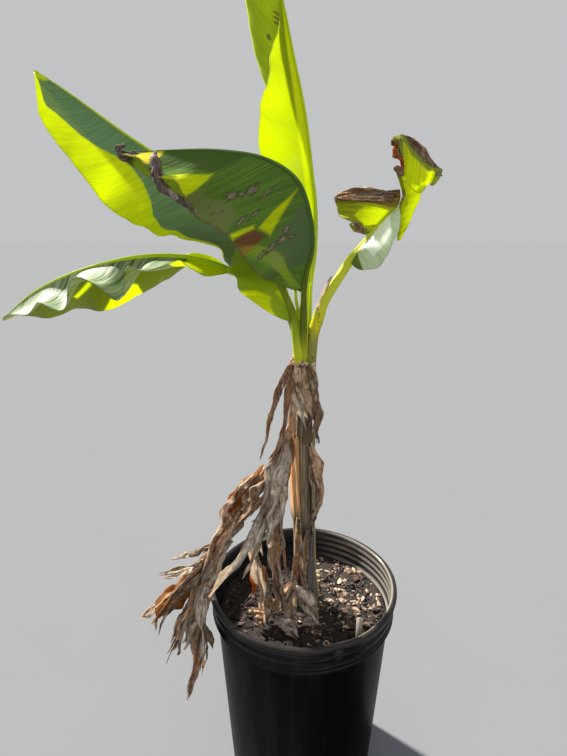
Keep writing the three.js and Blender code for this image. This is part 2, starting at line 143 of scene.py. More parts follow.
class Finish:
    """A material under construction."""

    def __init__(self, name):
        self.material = bpy.data.materials.new(name)
        self.material.use_nodes = True
        self.material.node_tree.nodes.clear()

    def add(self, kind, settings=None, sockets=None, out=0):
        """Adds a node, its settings first, and gives back one of its outputs."""
        node = self.material.node_tree.nodes.new(kind)
        for key, value in (settings or {}).items():
            setattr(node, key, value)
        for key, value in (sockets or {}).items():
            if isinstance(value, Value):
                self.material.node_tree.links.new(value.socket, node.inputs[key])
            else:
                node.inputs[key].default_value = value
        return Value(self, node.outputs[out]) if node.outputs else None

    def reckon(self, operation, *terms):
        """A Math node on sockets and numbers, in the order given."""
        return self.add("ShaderNodeMath", {"operation": operation}, dict(enumerate(terms)))

    def among(self, operation, values):
        """The largest or the smallest of several values, by the operation MAXIMUM or MINIMUM."""
        return functools.reduce(lambda a, b: a.math(operation, b), values)

    def place(self):
        """Where a point lies on the object, in metres."""
        return self.add("ShaderNodeTexCoord", out="Object")

    def sheet(self):
        """How far along a bent sheet a point lies, and how far across, from 0 to 1."""
        uv = self.add("ShaderNodeUVMap", {"uv_map": "sheet"})
        return self.part(uv, 0), self.part(uv, 1)

    def part(self, vector, axis):
        return self.add("ShaderNodeSeparateXYZ", None, {0: vector}, axis)

    def vector(self, x, y, z=0.0):
        return self.add("ShaderNodeCombineXYZ", None, {0: x, 1: y, 2: z})

    def stretch(self, vector, sizes):
        """A vector with each part multiplied, which draws a pattern out one way."""
        return self.add("ShaderNodeVectorMath", {"operation": "MULTIPLY"}, {0: vector, 1: sizes})

    def cloud(self, vector, scale, detail=3.0, rough=0.55):
        """Soft noise from 0 to 1."""
        sockets = {"Vector": vector, "Scale": scale, "Detail": detail, "Roughness": rough}
        return self.add("ShaderNodeTexNoise", None, sockets)

    def rise(self, value, low, high):
        """0 below low, 1 above high, with a smooth way between. It falls where low is the larger."""
        sockets = {"Value": value, "From Min": low, "From Max": high}
        return self.add("ShaderNodeMapRange", {"interpolation_type": "SMOOTHSTEP"}, sockets)

    def steps(self, value, stops):
        """A broken line through (place, height) stops, built as a sum of ramps that stop at both ends."""
        line = stops[0][1]
        for (x0, y0), (x1, y1) in zip(stops, stops[1:]):
            sockets = {"Value": value, "From Min": x0, "From Max": x1, "To Max": y1 - y0}
            line = self.add("ShaderNodeMapRange", None, sockets) + line
        return line

    def inside(self, x, y, corners, soft=0.02):
        """1 within a polygon without dents, given by its (x, y) corners, and 0 outside it."""
        middle = [sum(corner[i] for corner in corners) / len(corners) for i in (0, 1)]
        sides = []
        for (x0, y0), (x1, y1) in zip(corners, corners[1:] + corners[:1]):
            a, b = y1 - y0, x0 - x1
            size = math.hypot(a, b) * (1 if a * (middle[0] - x0) + b * (middle[1] - y0) > 0 else -1)
            sides.append(x * (a / size) + y * (b / size) - (a * x0 + b * y0) / size)
        return self.rise(self.among("MINIMUM", sides), -soft, soft)

    def blend(self, share, first, second):
        """A colour between two colours."""
        pair = {key: c if isinstance(c, Value) else (*c, 1) for key, c in ((6, first), (7, second))}
        return self.add("ShaderNodeMix", {"data_type": "RGBA"}, {0: share, **pair}, 2)

    def relief(self, height, depth, strength=1.0):
        """A bump for the Normal socket, with its depth in metres."""
        return self.add("ShaderNodeBump", None, {"Height": height, "Distance": depth, "Strength": strength})

    def close(self, sockets, glow=None, glow_share=0.0):
        """Ends the material. A glow colour lets that share of light through, as a thin leaf does."""
        surface = self.add("ShaderNodeBsdfPrincipled", None, sockets)
        if glow:
            through = self.add("ShaderNodeBsdfTranslucent", None, {"Color": (*glow, 1)})
            surface = self.add("ShaderNodeMixShader", None, {0: glow_share, 1: surface, 2: through})
        self.add("ShaderNodeOutputMaterial", None, {"Surface": surface})
        return self.material


print("material helpers ready")

# %% [markdown]
# ## Bent sheets
# Leaves, stalks, sheaths and dead ribbons are all thin sheets that bend, so they share one way of being
# made: a flat grid whose rows are carried to their places. Modelling each by hand would take days, and
# a cloth simulation couldn't be told where the leaf must end. The grid's own square stays behind as a
# UV map, which later lets the veins follow the leaf. A sheet whose two long edges meet is a tube, and
# its seam is merged.

# %% Smooth curves and smooth lists


def lerp(a, b, share):
    return a + (b - a) * share


def along(stops, share):
    """Reads a short list of numbers or directions, spaced evenly from 0 to 1, with no corners."""
    place = min(max(share, 0), 1) * (len(stops) - 1)
    low = min(int(place), len(stops) - 2)
    part = place - low
    part = part * part * (3 - 2 * part)
    if isinstance(stops[0], (int, float)):
        return lerp(stops[low], stops[low + 1], part)
    return Vector(stops[low]).lerp(Vector(stops[low + 1]), part).normalized()


class Route:
    """A smooth curve through points, in millimetres above the mix, read by its share of the length."""

    READS = 200
    STEP = 2e-4

    def __init__(self, points):
        self.points = [Vector(p) * MM + Vector((0, 0, MIX_TOP)) for p in points]
        reads = [self.curve(i / self.READS) for i in range(self.READS + 1)]
        self.lengths = [0.0]
        for a, b in zip(reads, reads[1:]):
            self.lengths.append(self.lengths[-1] + (b - a).length)
        self.length = self.lengths[-1]

    def curve(self, share):
        last = len(self.points) - 1
        i = min(int(share * last), last - 1)
        x = share * last - i
        p1, p2 = self.points[i], self.points[i + 1]
        p0 = self.points[i - 1] if i else 2 * p1 - p2
        p3 = self.points[i + 2] if i + 2 <= last else 2 * p2 - p1
        g0, g1, g2 = ((b - a).length ** 0.5 for a, b in ((p0, p1), (p1, p2), (p2, p3)))
        leave = ((p1 - p0) / g0 - (p2 - p0) / (g0 + g1) + (p2 - p1) / g1) * g1
        arrive = ((p2 - p1) / g1 - (p3 - p1) / (g1 + g2) + (p3 - p2) / g2) * g1
        bend = -3 * p1 + 3 * p2 - 2 * leave - arrive
        return p1 + leave * x + bend * x * x + (2 * p1 - 2 * p2 + leave + arrive) * x**3

    def at(self, share):
        goal = min(max(share, 0), 1) * self.length
        low, high = 0, self.READS
        while high - low > 1:
            middle = (low + high) // 2
            low, high = (middle, high) if self.lengths[middle] <= goal else (low, middle)
        part = (goal - self.lengths[low]) / (self.lengths[high] - self.lengths[low])
        return self.curve((low + part) / self.READS)

    def ahead(self, share):
        share = min(max(share, self.STEP), 1 - self.STEP)
        return (self.at(share + self.STEP) - self.at(share - self.STEP)).normalized()


print("a test curve is", round(Route([(0, 0, 0), (0, 0, 500), (100, 0, 1000)]).length, 3), "m long")

# %% The sheet maker and the piece maker
MERGED = 1e-6  # metres: points closer than this become one
PAPER_WALL, STRIP_WALL, SHEATH_WALL, BLADE_WALL = 0.0009, 0.001, 0.0012, 0.0013


def spoke(turn):
    return Vector((math.cos(turn), math.sin(turn), 0))


def faces_of(verts):
    return {face for vert in verts for face in vert.link_faces}


def bent_sheet(bm, steps, lanes, row, finish=0, closed=False):
    """Adds a grid to bm and carries it to row(s)(u). s runs along it and u across it, both from 0 to 1."""
    made = bmesh.ops.create_grid(bm, x_segments=steps, y_segments=lanes, size=0.5)["verts"]
    uv = bm.loops.layers.uv.get("sheet") or bm.loops.layers.uv.new("sheet")
    for face in faces_of(made):
        face.material_index = finish
        for loop in face.loops:
            loop[uv].uv = (loop.vert.co.x + 0.5, loop.vert.co.y + 0.5)
    rows = {}
    for vert in made:
        s, u = round(vert.co.x + 0.5, 5), round(vert.co.y + 0.5, 5)
        if s not in rows:
            rows[s] = row(s)
        vert.co = rows[s](u)
    if closed:
        bmesh.ops.remove_doubles(bm, verts=made, dist=MERGED)
        made = {vert for vert in made if vert.is_valid}
        bmesh.ops.holes_fill(bm, edges=[e for e in bm.edges if e.is_boundary and e.verts[0] in made])
    return made


def mesh_object(name, bm, materials):
    """Turns the bmesh into an object of the scene, with its materials in their order."""
    mesh = bpy.data.meshes.new(name)
    bm.to_mesh(mesh)
    bm.free()
    for material in materials:
        mesh.materials.append(material)
    return in_scene(name, mesh)


def finish_piece(name, bm, materials, nodes=(), wall=0.0, smooth=True):
    """Makes the piece, lets it ride on the pot, and hides the nodes that it takes over."""
    bmesh.ops.recalc_face_normals(bm, faces=bm.faces)
    for face in bm.faces:
        face.smooth = smooth
    piece = mesh_object(name, bm, materials)
    if wall:
        shell = piece.modifiers.new("wall", "SOLIDIFY")
        shell.thickness, shell.offset = wall, 0
    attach(piece, "root")
    if nodes:
        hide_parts(*nodes)
    print(name, len(piece.data.polygons), "faces")


# %% [markdown]
# ## Pot
# Nursery pots are blown or moulded from thin black plastic: a plain tapered wall, a wider band with
# shallow rings under a rolled rim, and scuff streaks that run down the wall. Lighter streaks on the
# wall's left are painted highlights, and the grey of the rings inside the band, on its right, is
# painted sunlight. A cylinder could be scaled at its ends, but the rim needs its true section, so a
# short profile is spun once round the upright axis. A little noise in the radius and one dent beside
# the front take away the look of a lathe.

# %% Black plastic with streaks, dust, painted highlight streaks on the left, and rings inside the band painted sunlit on the right
INSIDE_FROM, INSIDE_TO = 0.2058, 0.2072  # metres from the axis: the inner face of the band
RING_PITCH = 0.0085


def black_plastic():
    look = Finish("black_plastic")
    here = look.place()
    streaks = look.cloud(look.stretch(here, (46, 46, 1.3)), 1, 4)
    dust = look.cloud(here, 9, 5)
    right, across, height = (look.part(here, axis) for axis in range(3))
    low_dirt = look.rise(height + dust * 0.10, 0.16, 0.02)
    rim_dust = look.rise(height + dust * 0.03, 0.505, 0.54)
    # Painted highlights: the streaks are lightened only on the left of the wall.
    painted_glint_streaks = look.rise(streaks, 0.60, 0.70) * look.rise(right, -0.08, -0.19)
    colour = look.blend(look.rise(streaks, 0.45, 0.8), (0.0015, 0.0015, 0.0025), (0.004, 0.004, 0.006))
    colour = look.blend(painted_glint_streaks * 0.018, colour, (0.14, 0.15, 0.17))
    reach = (right * right + across * across).math("SQRT")
    inner = look.rise(reach, INSIDE_TO, INSIDE_FROM) * look.rise(height, 0.440, 0.450)
    # Painted sunlight: the rings inside the band turn grey only on its right, where the sun falls.
    ring = look.rise(height.math("PINGPONG", RING_PITCH) + dust * 0.004, 0.004, RING_PITCH)
    painted_sunlit_rings = look.blend(ring * look.rise(right, 0.02, 0.14), (0.016, 0.016, 0.018), (0.19, 0.175, 0.15))
    colour = look.blend(inner, colour, painted_sunlit_rings)
    colour = look.blend(low_dirt * 0.35 + rim_dust * 0.2, colour, (0.13, 0.115, 0.10))
    scuffs = look.cloud(look.stretch(here, (9, 9, 3)), 6, 6, 0.7)
    return look.close({
        "Base Color": colour,
        "Roughness": 0.26 + streaks * 0.16 + scuffs * 0.10 + low_dirt * 0.2,
        "IOR": 1.34,
        "Coat Weight": look.rise(streaks, 0.44, 0.62) * 0.05 + look.rise(height, 0.45, 0.46) * 0.25,
        "Coat Roughness": 0.16,
        "Specular IOR Level": 0.06,
        "Normal": look.relief(scuffs + streaks, 0.0014, 0.6),
    })


# %% Profile of the wall, band and rim, spun round
POT_HEIGHT = 520
RIM_RADIUS, BASE_RADIUS = 216, 172
WALL, FLOOR = 3.5, 5
RIM_BEAD = 7
BAND_FOOT = POT_HEIGHT - 66
BAND_RADIUS = RIM_RADIUS - RIM_BEAD


def wall_radius(height):
    return lerp(BASE_RADIUS, BAND_RADIUS - 4, height / POT_HEIGHT)


def pot_profile():
    """The pot's section, in millimetres: under the floor, up the outside, over the rim, down the inside."""
    points = [(0, 6), (150, 6), (156, 0), (BASE_RADIUS - 3, 0), (BASE_RADIUS, 3)]
    points += [(wall_radius(h), h) for h in range(30, BAND_FOOT, 30)]
    points += [(wall_radius(BAND_FOOT), BAND_FOOT), (BAND_RADIUS - 1, BAND_FOOT + 3)]
    for ring in (458, 468, 488):
        for step in range(-3, 4):
            points.append((BAND_RADIUS + 2 * math.cos(step * math.pi / 6), ring + step * 0.9))
    centre = POT_HEIGHT - RIM_BEAD
    for step in range(13):
        turn = math.radians(-80 + step * 19)
        points.append((BAND_RADIUS + RIM_BEAD * math.cos(turn), centre + RIM_BEAD * math.sin(turn)))
    for ring in (496, 481, 463):
        points += [(BAND_RADIUS - WALL - 1, ring + 5), (BAND_RADIUS - WALL - 2.6, ring)]
        points += [(BAND_RADIUS - WALL - 1, ring - 5)]
    points += [(wall_radius(BAND_FOOT) - WALL, BAND_FOOT - 2)]
    points += [(wall_radius(h) - WALL, h) for h in range(420, 20, -50)]
    return points + [(BASE_RADIUS - WALL - 2, FLOOR + 6), (0, FLOOR + 6)]


def spun(bm, points, steps):
    """Spins a profile of (radius, height) points in millimetres once round the upright axis."""
    chain = [bm.verts.new((r * MM, 0, z * MM)) for r, z in points]
    edges = [bm.edges.new(pair) for pair in zip(chain, chain[1:])]
    turn = dict(cent=(0, 0, 0), axis=(0, 0, 1), angle=math.tau)
    bmesh.ops.spin(bm, geom=chain + edges, **turn, steps=steps, use_merge=True)
    bmesh.ops.remove_doubles(bm, verts=bm.verts, dist=MERGED)


DENT_TURN, DENT_SPREAD, DENT_DEPTH = -72, 7, 5  # degrees from +X, degrees, millimetres
pot = bmesh.new()
spun(pot, pot_profile(), 144)
for vert in pot.verts:
    out = Vector((vert.co.x, vert.co.y, 0))
    if out.length > 0.1:
        off = (math.degrees(math.atan2(out.y, out.x)) - DENT_TURN) / DENT_SPREAD
        soft = noise.noise(Vector((out.x * 9, out.y * 9, vert.co.z * 4))) * 1.2
        dent = DENT_DEPTH * math.exp(-(off**2)) * max(0, (vert.co.z - 0.44) / 0.08)
        vert.co += out.normalized() * (soft - dent) * MM
finish_piece("nursery_pot", pot, [black_plastic()], ["pot"])

# %% [markdown]
# ## Potting mix
# The mix is dark, moist and lumpy, with bark chips. Their colours paint light: more are tan on the
# side the sun reaches, and more are dark in the pot wall's shade on the left.
# Displacing one disc gives the lumps, but chips lie loose on it, so about two thousand small faceted
# pebbles are flattened, bent by noise and scattered. Each kind has its own plain finish, and a seeded
# dice throw decides which.

# %% Dark crumbly mix


def crumbs(name, dark, light, size):
    look = Finish(name)
    here = look.place()
    grain = look.cloud(here, size, 6, 0.7)
    patches = look.cloud(here, 22, 3)
    return look.close({
        "Base Color": look.blend(look.rise(grain * 0.7 + patches * 0.3, 0.38, 0.68), dark, light),
        "Roughness": 0.86 + grain * 0.12,
        "Normal": look.relief(grain, 0.004, 0.9),
    })


# %% A lumpy solid that fills the pot
MIX_RADIUS, MIX_RINGS, MIX_LEVEL = 196, 30, 448
mix = bmesh.new()
top = [(MIX_RADIUS * (1 - i / MIX_RINGS), MIX_LEVEL) for i in range(MIX_RINGS)]
spun(mix, [(0, 12), (160, 12), (MIX_RADIUS - 4, 440), *top, (0, MIX_LEVEL)], 120)
for vert in mix.verts:
    if vert.co.z > 0.445:
        lumps = noise.noise(vert.co * 26) * 5 + noise.noise(vert.co * 75) * 5
        vert.co.z += lumps * MM
moist_mix = crumbs("moist_mix", (0.008, 0.006, 0.004), (0.036, 0.024, 0.018), 240)
finish_piece("potting_mix_fill", mix, [moist_mix], ["potting_mix"])

# %% Bark chips
THROWS, BED_RADIUS, STEM_ROOM = 2200, 0.188, 0.035
CHIP_LENGTHS, LENGTH_ODDS = ((2, 5), (4, 8), (8, 13)), (60, 32, 8)
SUNNY_ODDS, SHADED_ODDS, OTHER_ODDS = (6, 6, 5), (0, 2, 12), (2, 6, 10)  # of tan, brown and dark
dice = random.Random(7)
chips = bmesh.new()
for _ in range(THROWS):
    reach = math.sqrt(dice.random()) * BED_RADIUS
    turn = dice.random() * math.tau
    if reach < STEM_ROOM:
        continue
    long = dice.uniform(*dice.choices(CHIP_LENGTHS, LENGTH_ODDS)[0])
    size = Vector((long, long * dice.uniform(0.35, 0.9), long * dice.uniform(0.15, 0.4))) * MM
    lie = Matrix.Rotation(dice.random() * math.tau, 4, "Z") @ Matrix.Rotation(dice.uniform(-0.8, 0.8), 4, "X")
    spot = Vector((reach * math.cos(turn), reach * math.sin(turn), MIX_TOP + dice.uniform(0, 3.5) * MM))
    matrix = Matrix.Translation(spot) @ lie @ Matrix.Diagonal((*size, 1))
    crumb = bmesh.ops.create_icosphere(chips, subdivisions=1, radius=1, matrix=matrix)["verts"]
    for vert in crumb:
        vert.co += noise.noise_vector(vert.co * 160) * long * 0.45 * MM
    # Painted light: tan chips are likelier where the sun falls, and dark ones in the shade on the left.
    sunny = spot.x > 0.03 and spot.y > -0.02
    odds = SUNNY_ODDS if sunny else SHADED_ODDS if spot.x < -0.02 else OTHER_ODDS
    kind = dice.choices((0, 1, 2), odds)[0]
    for face in faces_of(crumb):
        face.material_index = kind
chip_finishes = [
    crumbs("bark_tan", (0.24, 0.165, 0.11), (0.66, 0.53, 0.39), 130),
    crumbs("bark_brown", (0.05, 0.03, 0.02), (0.17, 0.10, 0.065), 130),
    crumbs("bark_dark", (0.010, 0.007, 0.006), (0.040, 0.027, 0.020), 130),
]
finish_piece("bark_chips", chips, chip_finishes, smooth=False)

# %% [markdown]
# ## Plant tag
# A bare strip of pale plastic is pushed into the mix at the front. A cube scaled to its size is enough,
# once its upper end is rounded: its two top corners are bevelled by almost half its width.

# %% Tag
look = Finish("tag_plastic")
weather = look.cloud(look.stretch(look.place(), (60, 60, 14)), 1, 5)
tag_finish = look.close({
    "Base Color": look.blend(look.rise(weather, 0.35, 0.8), (0.42, 0.38, 0.31), (0.25, 0.21, 0.16)),
    "Roughness": 0.55 + weather * 0.2,
    "Normal": look.relief(weather, 0.0004, 0.6),
})
TAG_WIDE, TAG_THICK, TAG_LONG = 13, 1.6, 84
TAG_PLACE = (0.112, -0.143, MIX_TOP + 0.0455)
tag = bmesh.new()
bmesh.ops.create_cube(tag, size=1, matrix=Matrix.Diagonal((TAG_WIDE * MM, TAG_THICK * MM, TAG_LONG * MM, 1)))
crown = [
    e for e in tag.edges
    if all(v.co.z > 0 for v in e.verts) and abs(e.verts[0].co.x - e.verts[1].co.x) < MERGED
]
rounding = dict(offset=TAG_WIDE * 0.47 * MM, segments=6, affect="EDGES", profile=0.5, material=-1)
bmesh.ops.bevel(tag, geom=crown, **rounding)
lean = Matrix.Translation(TAG_PLACE) @ Matrix.Rotation(-0.25, 4, "Z")
bmesh.ops.transform(tag, verts=tag.verts, matrix=lean)
finish_piece("plant_tag_strip", tag, [tag_finish], ["plant_tag"])

# %% [markdown]
# ## Pseudostem
# A banana's trunk isn't wood: each leaf's base wraps the ones inside it, so its surface steps in and
# out where one base ends over the next, and fine fibres run up it. A cone with a bark picture would
# lose the steps. The tube below gets them from a sawtooth in its radius that winds slowly round, and
# the fibres come from noise that is drawn out along the stem.

# %% Living and dying leaf bases


def stem_finish(name, green, dry, edge, dry_below, darkness=0.5):
    """Fibres that run up the sheet. Below a share of its length the green gives way to dry brown."""
    look = Finish(name)
    s, _ = look.sheet()
    here = look.place()
    fibres = look.cloud(look.stretch(here, (420, 420, 9)), 1, 4, 0.6)
    cells = look.cloud(look.stretch(here, (60, 60, 22)), 1, 4)
    patches = look.cloud(look.stretch(here, (34, 34, 8)), 1, 4)
    wilted = look.rise(s + patches * 0.16, dry_below + 0.12, dry_below + 0.04)
    withered = look.blend(look.rise(fibres, 0.34, 0.66), [c * 0.45 for c in dry], [c * 1.35 for c in dry])
    colour = look.blend(wilted, look.blend(look.rise(fibres, 0.35, 0.7), edge, green), withered)
    colour = look.blend(look.rise(patches, 0.50, 0.68) * darkness, colour, (0.045, 0.028, 0.018))
    colour = look.blend(look.rise(cells, 0.58, 0.74) * 0.4 * wilted, colour, [c * 1.9 for c in dry])
    return look.close({
        "Base Color": colour,
        "Roughness": 0.50 + wilted * 0.25 + fibres * 0.15,
        "Normal": look.relief(fibres * 0.6 + cells, 0.0022, 0.9),
    })


# %% The stem's route and radius
STEM_TALL = 600
STEM = Route([(8, 8, -6), (4, 10, 150), (-2, 12, 330), (-4, 12, 480), (-3, 10, STEM_TALL)])


def stem_radius(s):
    """Millimetres: a flared foot, then an even taper."""
    return lerp(24, 18, s**0.85) + 6 * math.exp(-s * STEM_TALL / 45)


def stem_row(s):
    centre = STEM.at(s)

    def point(u):
        turn = u * math.tau
        wrap = (u * 3 + s * 1.7) % 1
        ripple = noise.noise(Vector((math.cos(turn) * 2, math.sin(turn) * 2, s * 9))) * 1.3
        radius = stem_radius(s) - 1.4 + 2.2 * wrap**3 + ripple
        return centre + spoke(turn) * radius * MM

    return point


stem = bmesh.new()
bent_sheet(stem, 150, 72, stem_row, closed=True)
bases = stem_finish("stem_bases", (0.42, 0.52, 0.02), (0.24, 0.175, 0.105), (0.62, 0.66, 0.05), 0.985)
finish_piece("pseudostem_wrapped", stem, [bases], ["pseudostem"])

# %% [markdown]
# ## Dry sheaths and the collar
# Old leaf bases dry to brown plates that stand off the stem, with lips that curl outwards and ends that
# fray. One on the left catches the light and shows orange tan. They are bent sheets whose rows are arcs
# round the stem: the arc narrows upwards, and noise decides how far each fibre reaches, which tears the
# end.

# %% One dry plate


def plate(bm, low, high, turn, span, twist=0.0, stand=2.0, lip=3.0, tear=30, narrow=0.45, finish=0, seed=0.0):
    """A dry sheath from low to high up the stem, in millimetres, round the direction turn.

    It stands off the stem, its lips curl out, its end is torn, and narrow says how much of its span is lost.
    """

    def row(s):
        def point(u):
            frayed = tear * (0.5 + noise.noise(Vector((u * 7, seed, 1.3)))) * s
            level = lerp(low, high, s) - frayed
            share = level / STEM_TALL
            side = 2 * u - 1
            angle = turn + twist * s + 0.5 * span * (1 - narrow * s * s) * side
            crumple = noise.noise(Vector((angle * 3, level * 0.02, seed))) * 2.2
            pleat = 0.7 * math.sin(angle * 11 + seed * 3 + s * 4)
            radius = stem_radius(share) + stand + crumple + pleat + lip * abs(side) ** 5 + 5 * s**8
            return STEM.at(share) + spoke(angle) * radius * MM

        return point

    bent_sheet(bm, 70, 26, row, finish)


def dry_finish(name, dry, darkness=0.5):
    """The finish of a sheath that is dry over its whole length, so no green shows."""
    return stem_finish(name, dry, dry, dry, 1.2, darkness)


sheath_finish = dry_finish("dry_sheath", (0.27, 0.19, 0.10))
olive_finish = stem_finish("olive_sheath", (0.20, 0.17, 0.05), (0.17, 0.125, 0.07), (0.26, 0.21, 0.07), 0.15)
grey_finish = dry_finish("grey_sheath", (0.125, 0.108, 0.102), 0.85)
dark_finish = dry_finish("dark_sheath", (0.13, 0.075, 0.04))
left = bmesh.new()
plate(left, 3, 512, math.pi * 1.12, 1.7, seed=2.1, tear=60)
finish_piece("sheath_left", left, [sheath_finish], ["dry_sheath_left"], SHEATH_WALL)
right = bmesh.new()
plate(right, 3, 466, -0.2, 1.5, seed=5.4, tear=50)
finish_piece("sheath_right", right, [olive_finish], ["dry_sheath_right"], SHEATH_WALL)
front = bmesh.new()
plate(front, 3, 238, -math.pi * 0.47, 1.45, stand=3.4, tear=46, seed=8.7, narrow=0.2, lip=4)
plate(front, 60, 225, -math.pi * 0.60, 0.8, 0.3, stand=5.5, tear=60, seed=9.9, narrow=0.4, lip=5, finish=1)
finish_piece("sheath_front", front, [grey_finish, dark_finish], ["dry_sheath_front"], SHEATH_WALL)

# %% The tan strip, lit through from behind
look = Finish("tan_strip")
s, u = look.sheet()
grain = look.cloud(look.vector(u * 16, s * 3), 1, 4)
burnt_foot = look.rise(s + grain * 0.3, 0.36, 0.12)
tan = look.blend(look.rise(grain, 0.35, 0.62), (0.66, 0.38, 0.14), (1, 0.82, 0.48))
tan_finish = look.close(
    {
        "Base Color": look.blend(burnt_foot, tan, (0.10, 0.045, 0.02)),
        "Roughness": 0.55,
        "Normal": look.relief(grain, 0.0015),
    },
    glow=(1, 0.64, 0.26), glow_share=0.55 - burnt_foot * 0.5,
)
strip = bmesh.new()
plate(strip, 236, 452, math.pi * 1.20, 1.35, -0.2, stand=5.5, tear=20, narrow=-0.2, seed=3.3)
finish_piece("sheath_tan_strip", strip, [tan_finish], wall=STRIP_WALL)

# %% The collar: bands of withered sheath that cross as they wind round
collar = bmesh.new()
plate(collar, 520, 598, math.pi * 1.35, 2.9, -0.4, stand=3.6, tear=22, lip=4, narrow=0.1, seed=11)
plate(collar, 500, 604, math.pi * 1.72, 1.9, -0.7, stand=6, tear=12, lip=4, narrow=0.2, seed=12)
plate(collar, 458, 596, 0.1, 1.2, -1.9, stand=7.5, tear=10, lip=3, narrow=-0.2, seed=13, finish=1)
plate(collar, 420, 560, math.pi * 1.62, 0.8, 0.5, stand=3.6, tear=40, lip=3, narrow=0.6, seed=14, finish=1)
plate(collar, 440, 600, math.pi * 1.22, 0.8, 0.2, stand=7, tear=50, lip=4, narrow=0.3, seed=15)
pale_finish = dry_finish("pale_sheath", (0.72, 0.56, 0.36), 0.15)
finish_piece("dry_collar_bands", collar, [pale_finish, dark_finish], ["dry_collar"], SHEATH_WALL)

# %% [markdown]
# ## Stalks and midribs
# A leaf's stalk is a channel: round below, with a groove above between two pale yellow shoulders, and
# it runs on under the blade as the midrib, thinner all the way. A round tube would miss the groove, so
# the tube's section is a circle whose upper half is pressed in. One tube makes both the stalk and the
# rib, as on the plant.

# %% Green stalk with yellow shoulders and black specks


def stalk_finish(name, green, shoulder, speck, rib, ridge_at=0.125, low=(0.62, 0.66, 0.03), low_to=0.17):
    """The shoulders fade and the green turns into the rib's colour where the stalk becomes the midrib.

    ridge_at says how far from the groove the shoulders lie, and low is the colour of the foot, up to low_to.
    """
    look = Finish(name)
    s, u = look.sheet()
    here = look.place()
    fibres = look.cloud(look.stretch(here, (260, 260, 14)), 1, 3)
    ridge = look.rise(abs(abs(u - 0.25) - ridge_at), 0.050, 0.02)
    colour = look.blend(look.rise(fibres, 0.3, 0.75), [c * 0.6 for c in green], green)
    colour = look.blend(ridge * 0.9, colour, shoulder)
    colour = look.blend(look.rise(s, low_to, low_to - 0.12) * 0.8, colour, low)
    specks = look.rise(look.cloud(here, 95, 2), 0.70 - speck, 0.74 - speck)
    colour = look.blend(specks * 0.9, colour, (0.025, 0.015, 0.012))
    colour = look.blend(look.rise(s, 0.30, 0.42), colour, rib)
    return look.close(
        {
            "Base Color": colour,
            "Roughness": 0.42 + fibres * 0.15,
            "Specular IOR Level": 0.2,
            "Normal": look.relief(fibres, 0.0008, 0.6),
        },
        glow=(0.70, 0.90, 0.08), glow_share=0.18,
    )


# %% A channelled tube


def channel_row(route, radius, upward):
    """The rows of a stalk: its groove faces upward, and its radius is in millimetres."""

    def row(s):
        centre, ahead = route.at(s), route.ahead(s)
        across = ahead.cross(along(upward, s)).normalized()
        up = across.cross(ahead)
        size = along(radius, s) * MM

        def point(u):
            x, y = math.cos(u * math.tau), math.sin(u * math.tau)
            y *= 0.25 + 0.75 * x * x if y > 0 else 1
            return centre + (across * x + up * y) * size

        return point

    return row


# %% [markdown]
# ## Blades
# A banana blade is two halves hung from the rib. Side veins leave the rib almost square to it and run
# to the margin, and the blade sags between them and flutters at its edge. Each half is a bent sheet:
# its width grows and shrinks along the rib, and a short list of directions says which way it hangs.
# Where one leaf shades another, the finish itself draws the edge of the shade.

# %% Veined leaf, with its painted sunlight and shade and its scars placed
# Painted sunlight: the colour of a blade where the sun shines through it.
SUN = (0.92, 0.98, 0.004)
RIPE = (0.72, 0.62, 0.010)
RUST = (0.15, 0.050, 0.020)


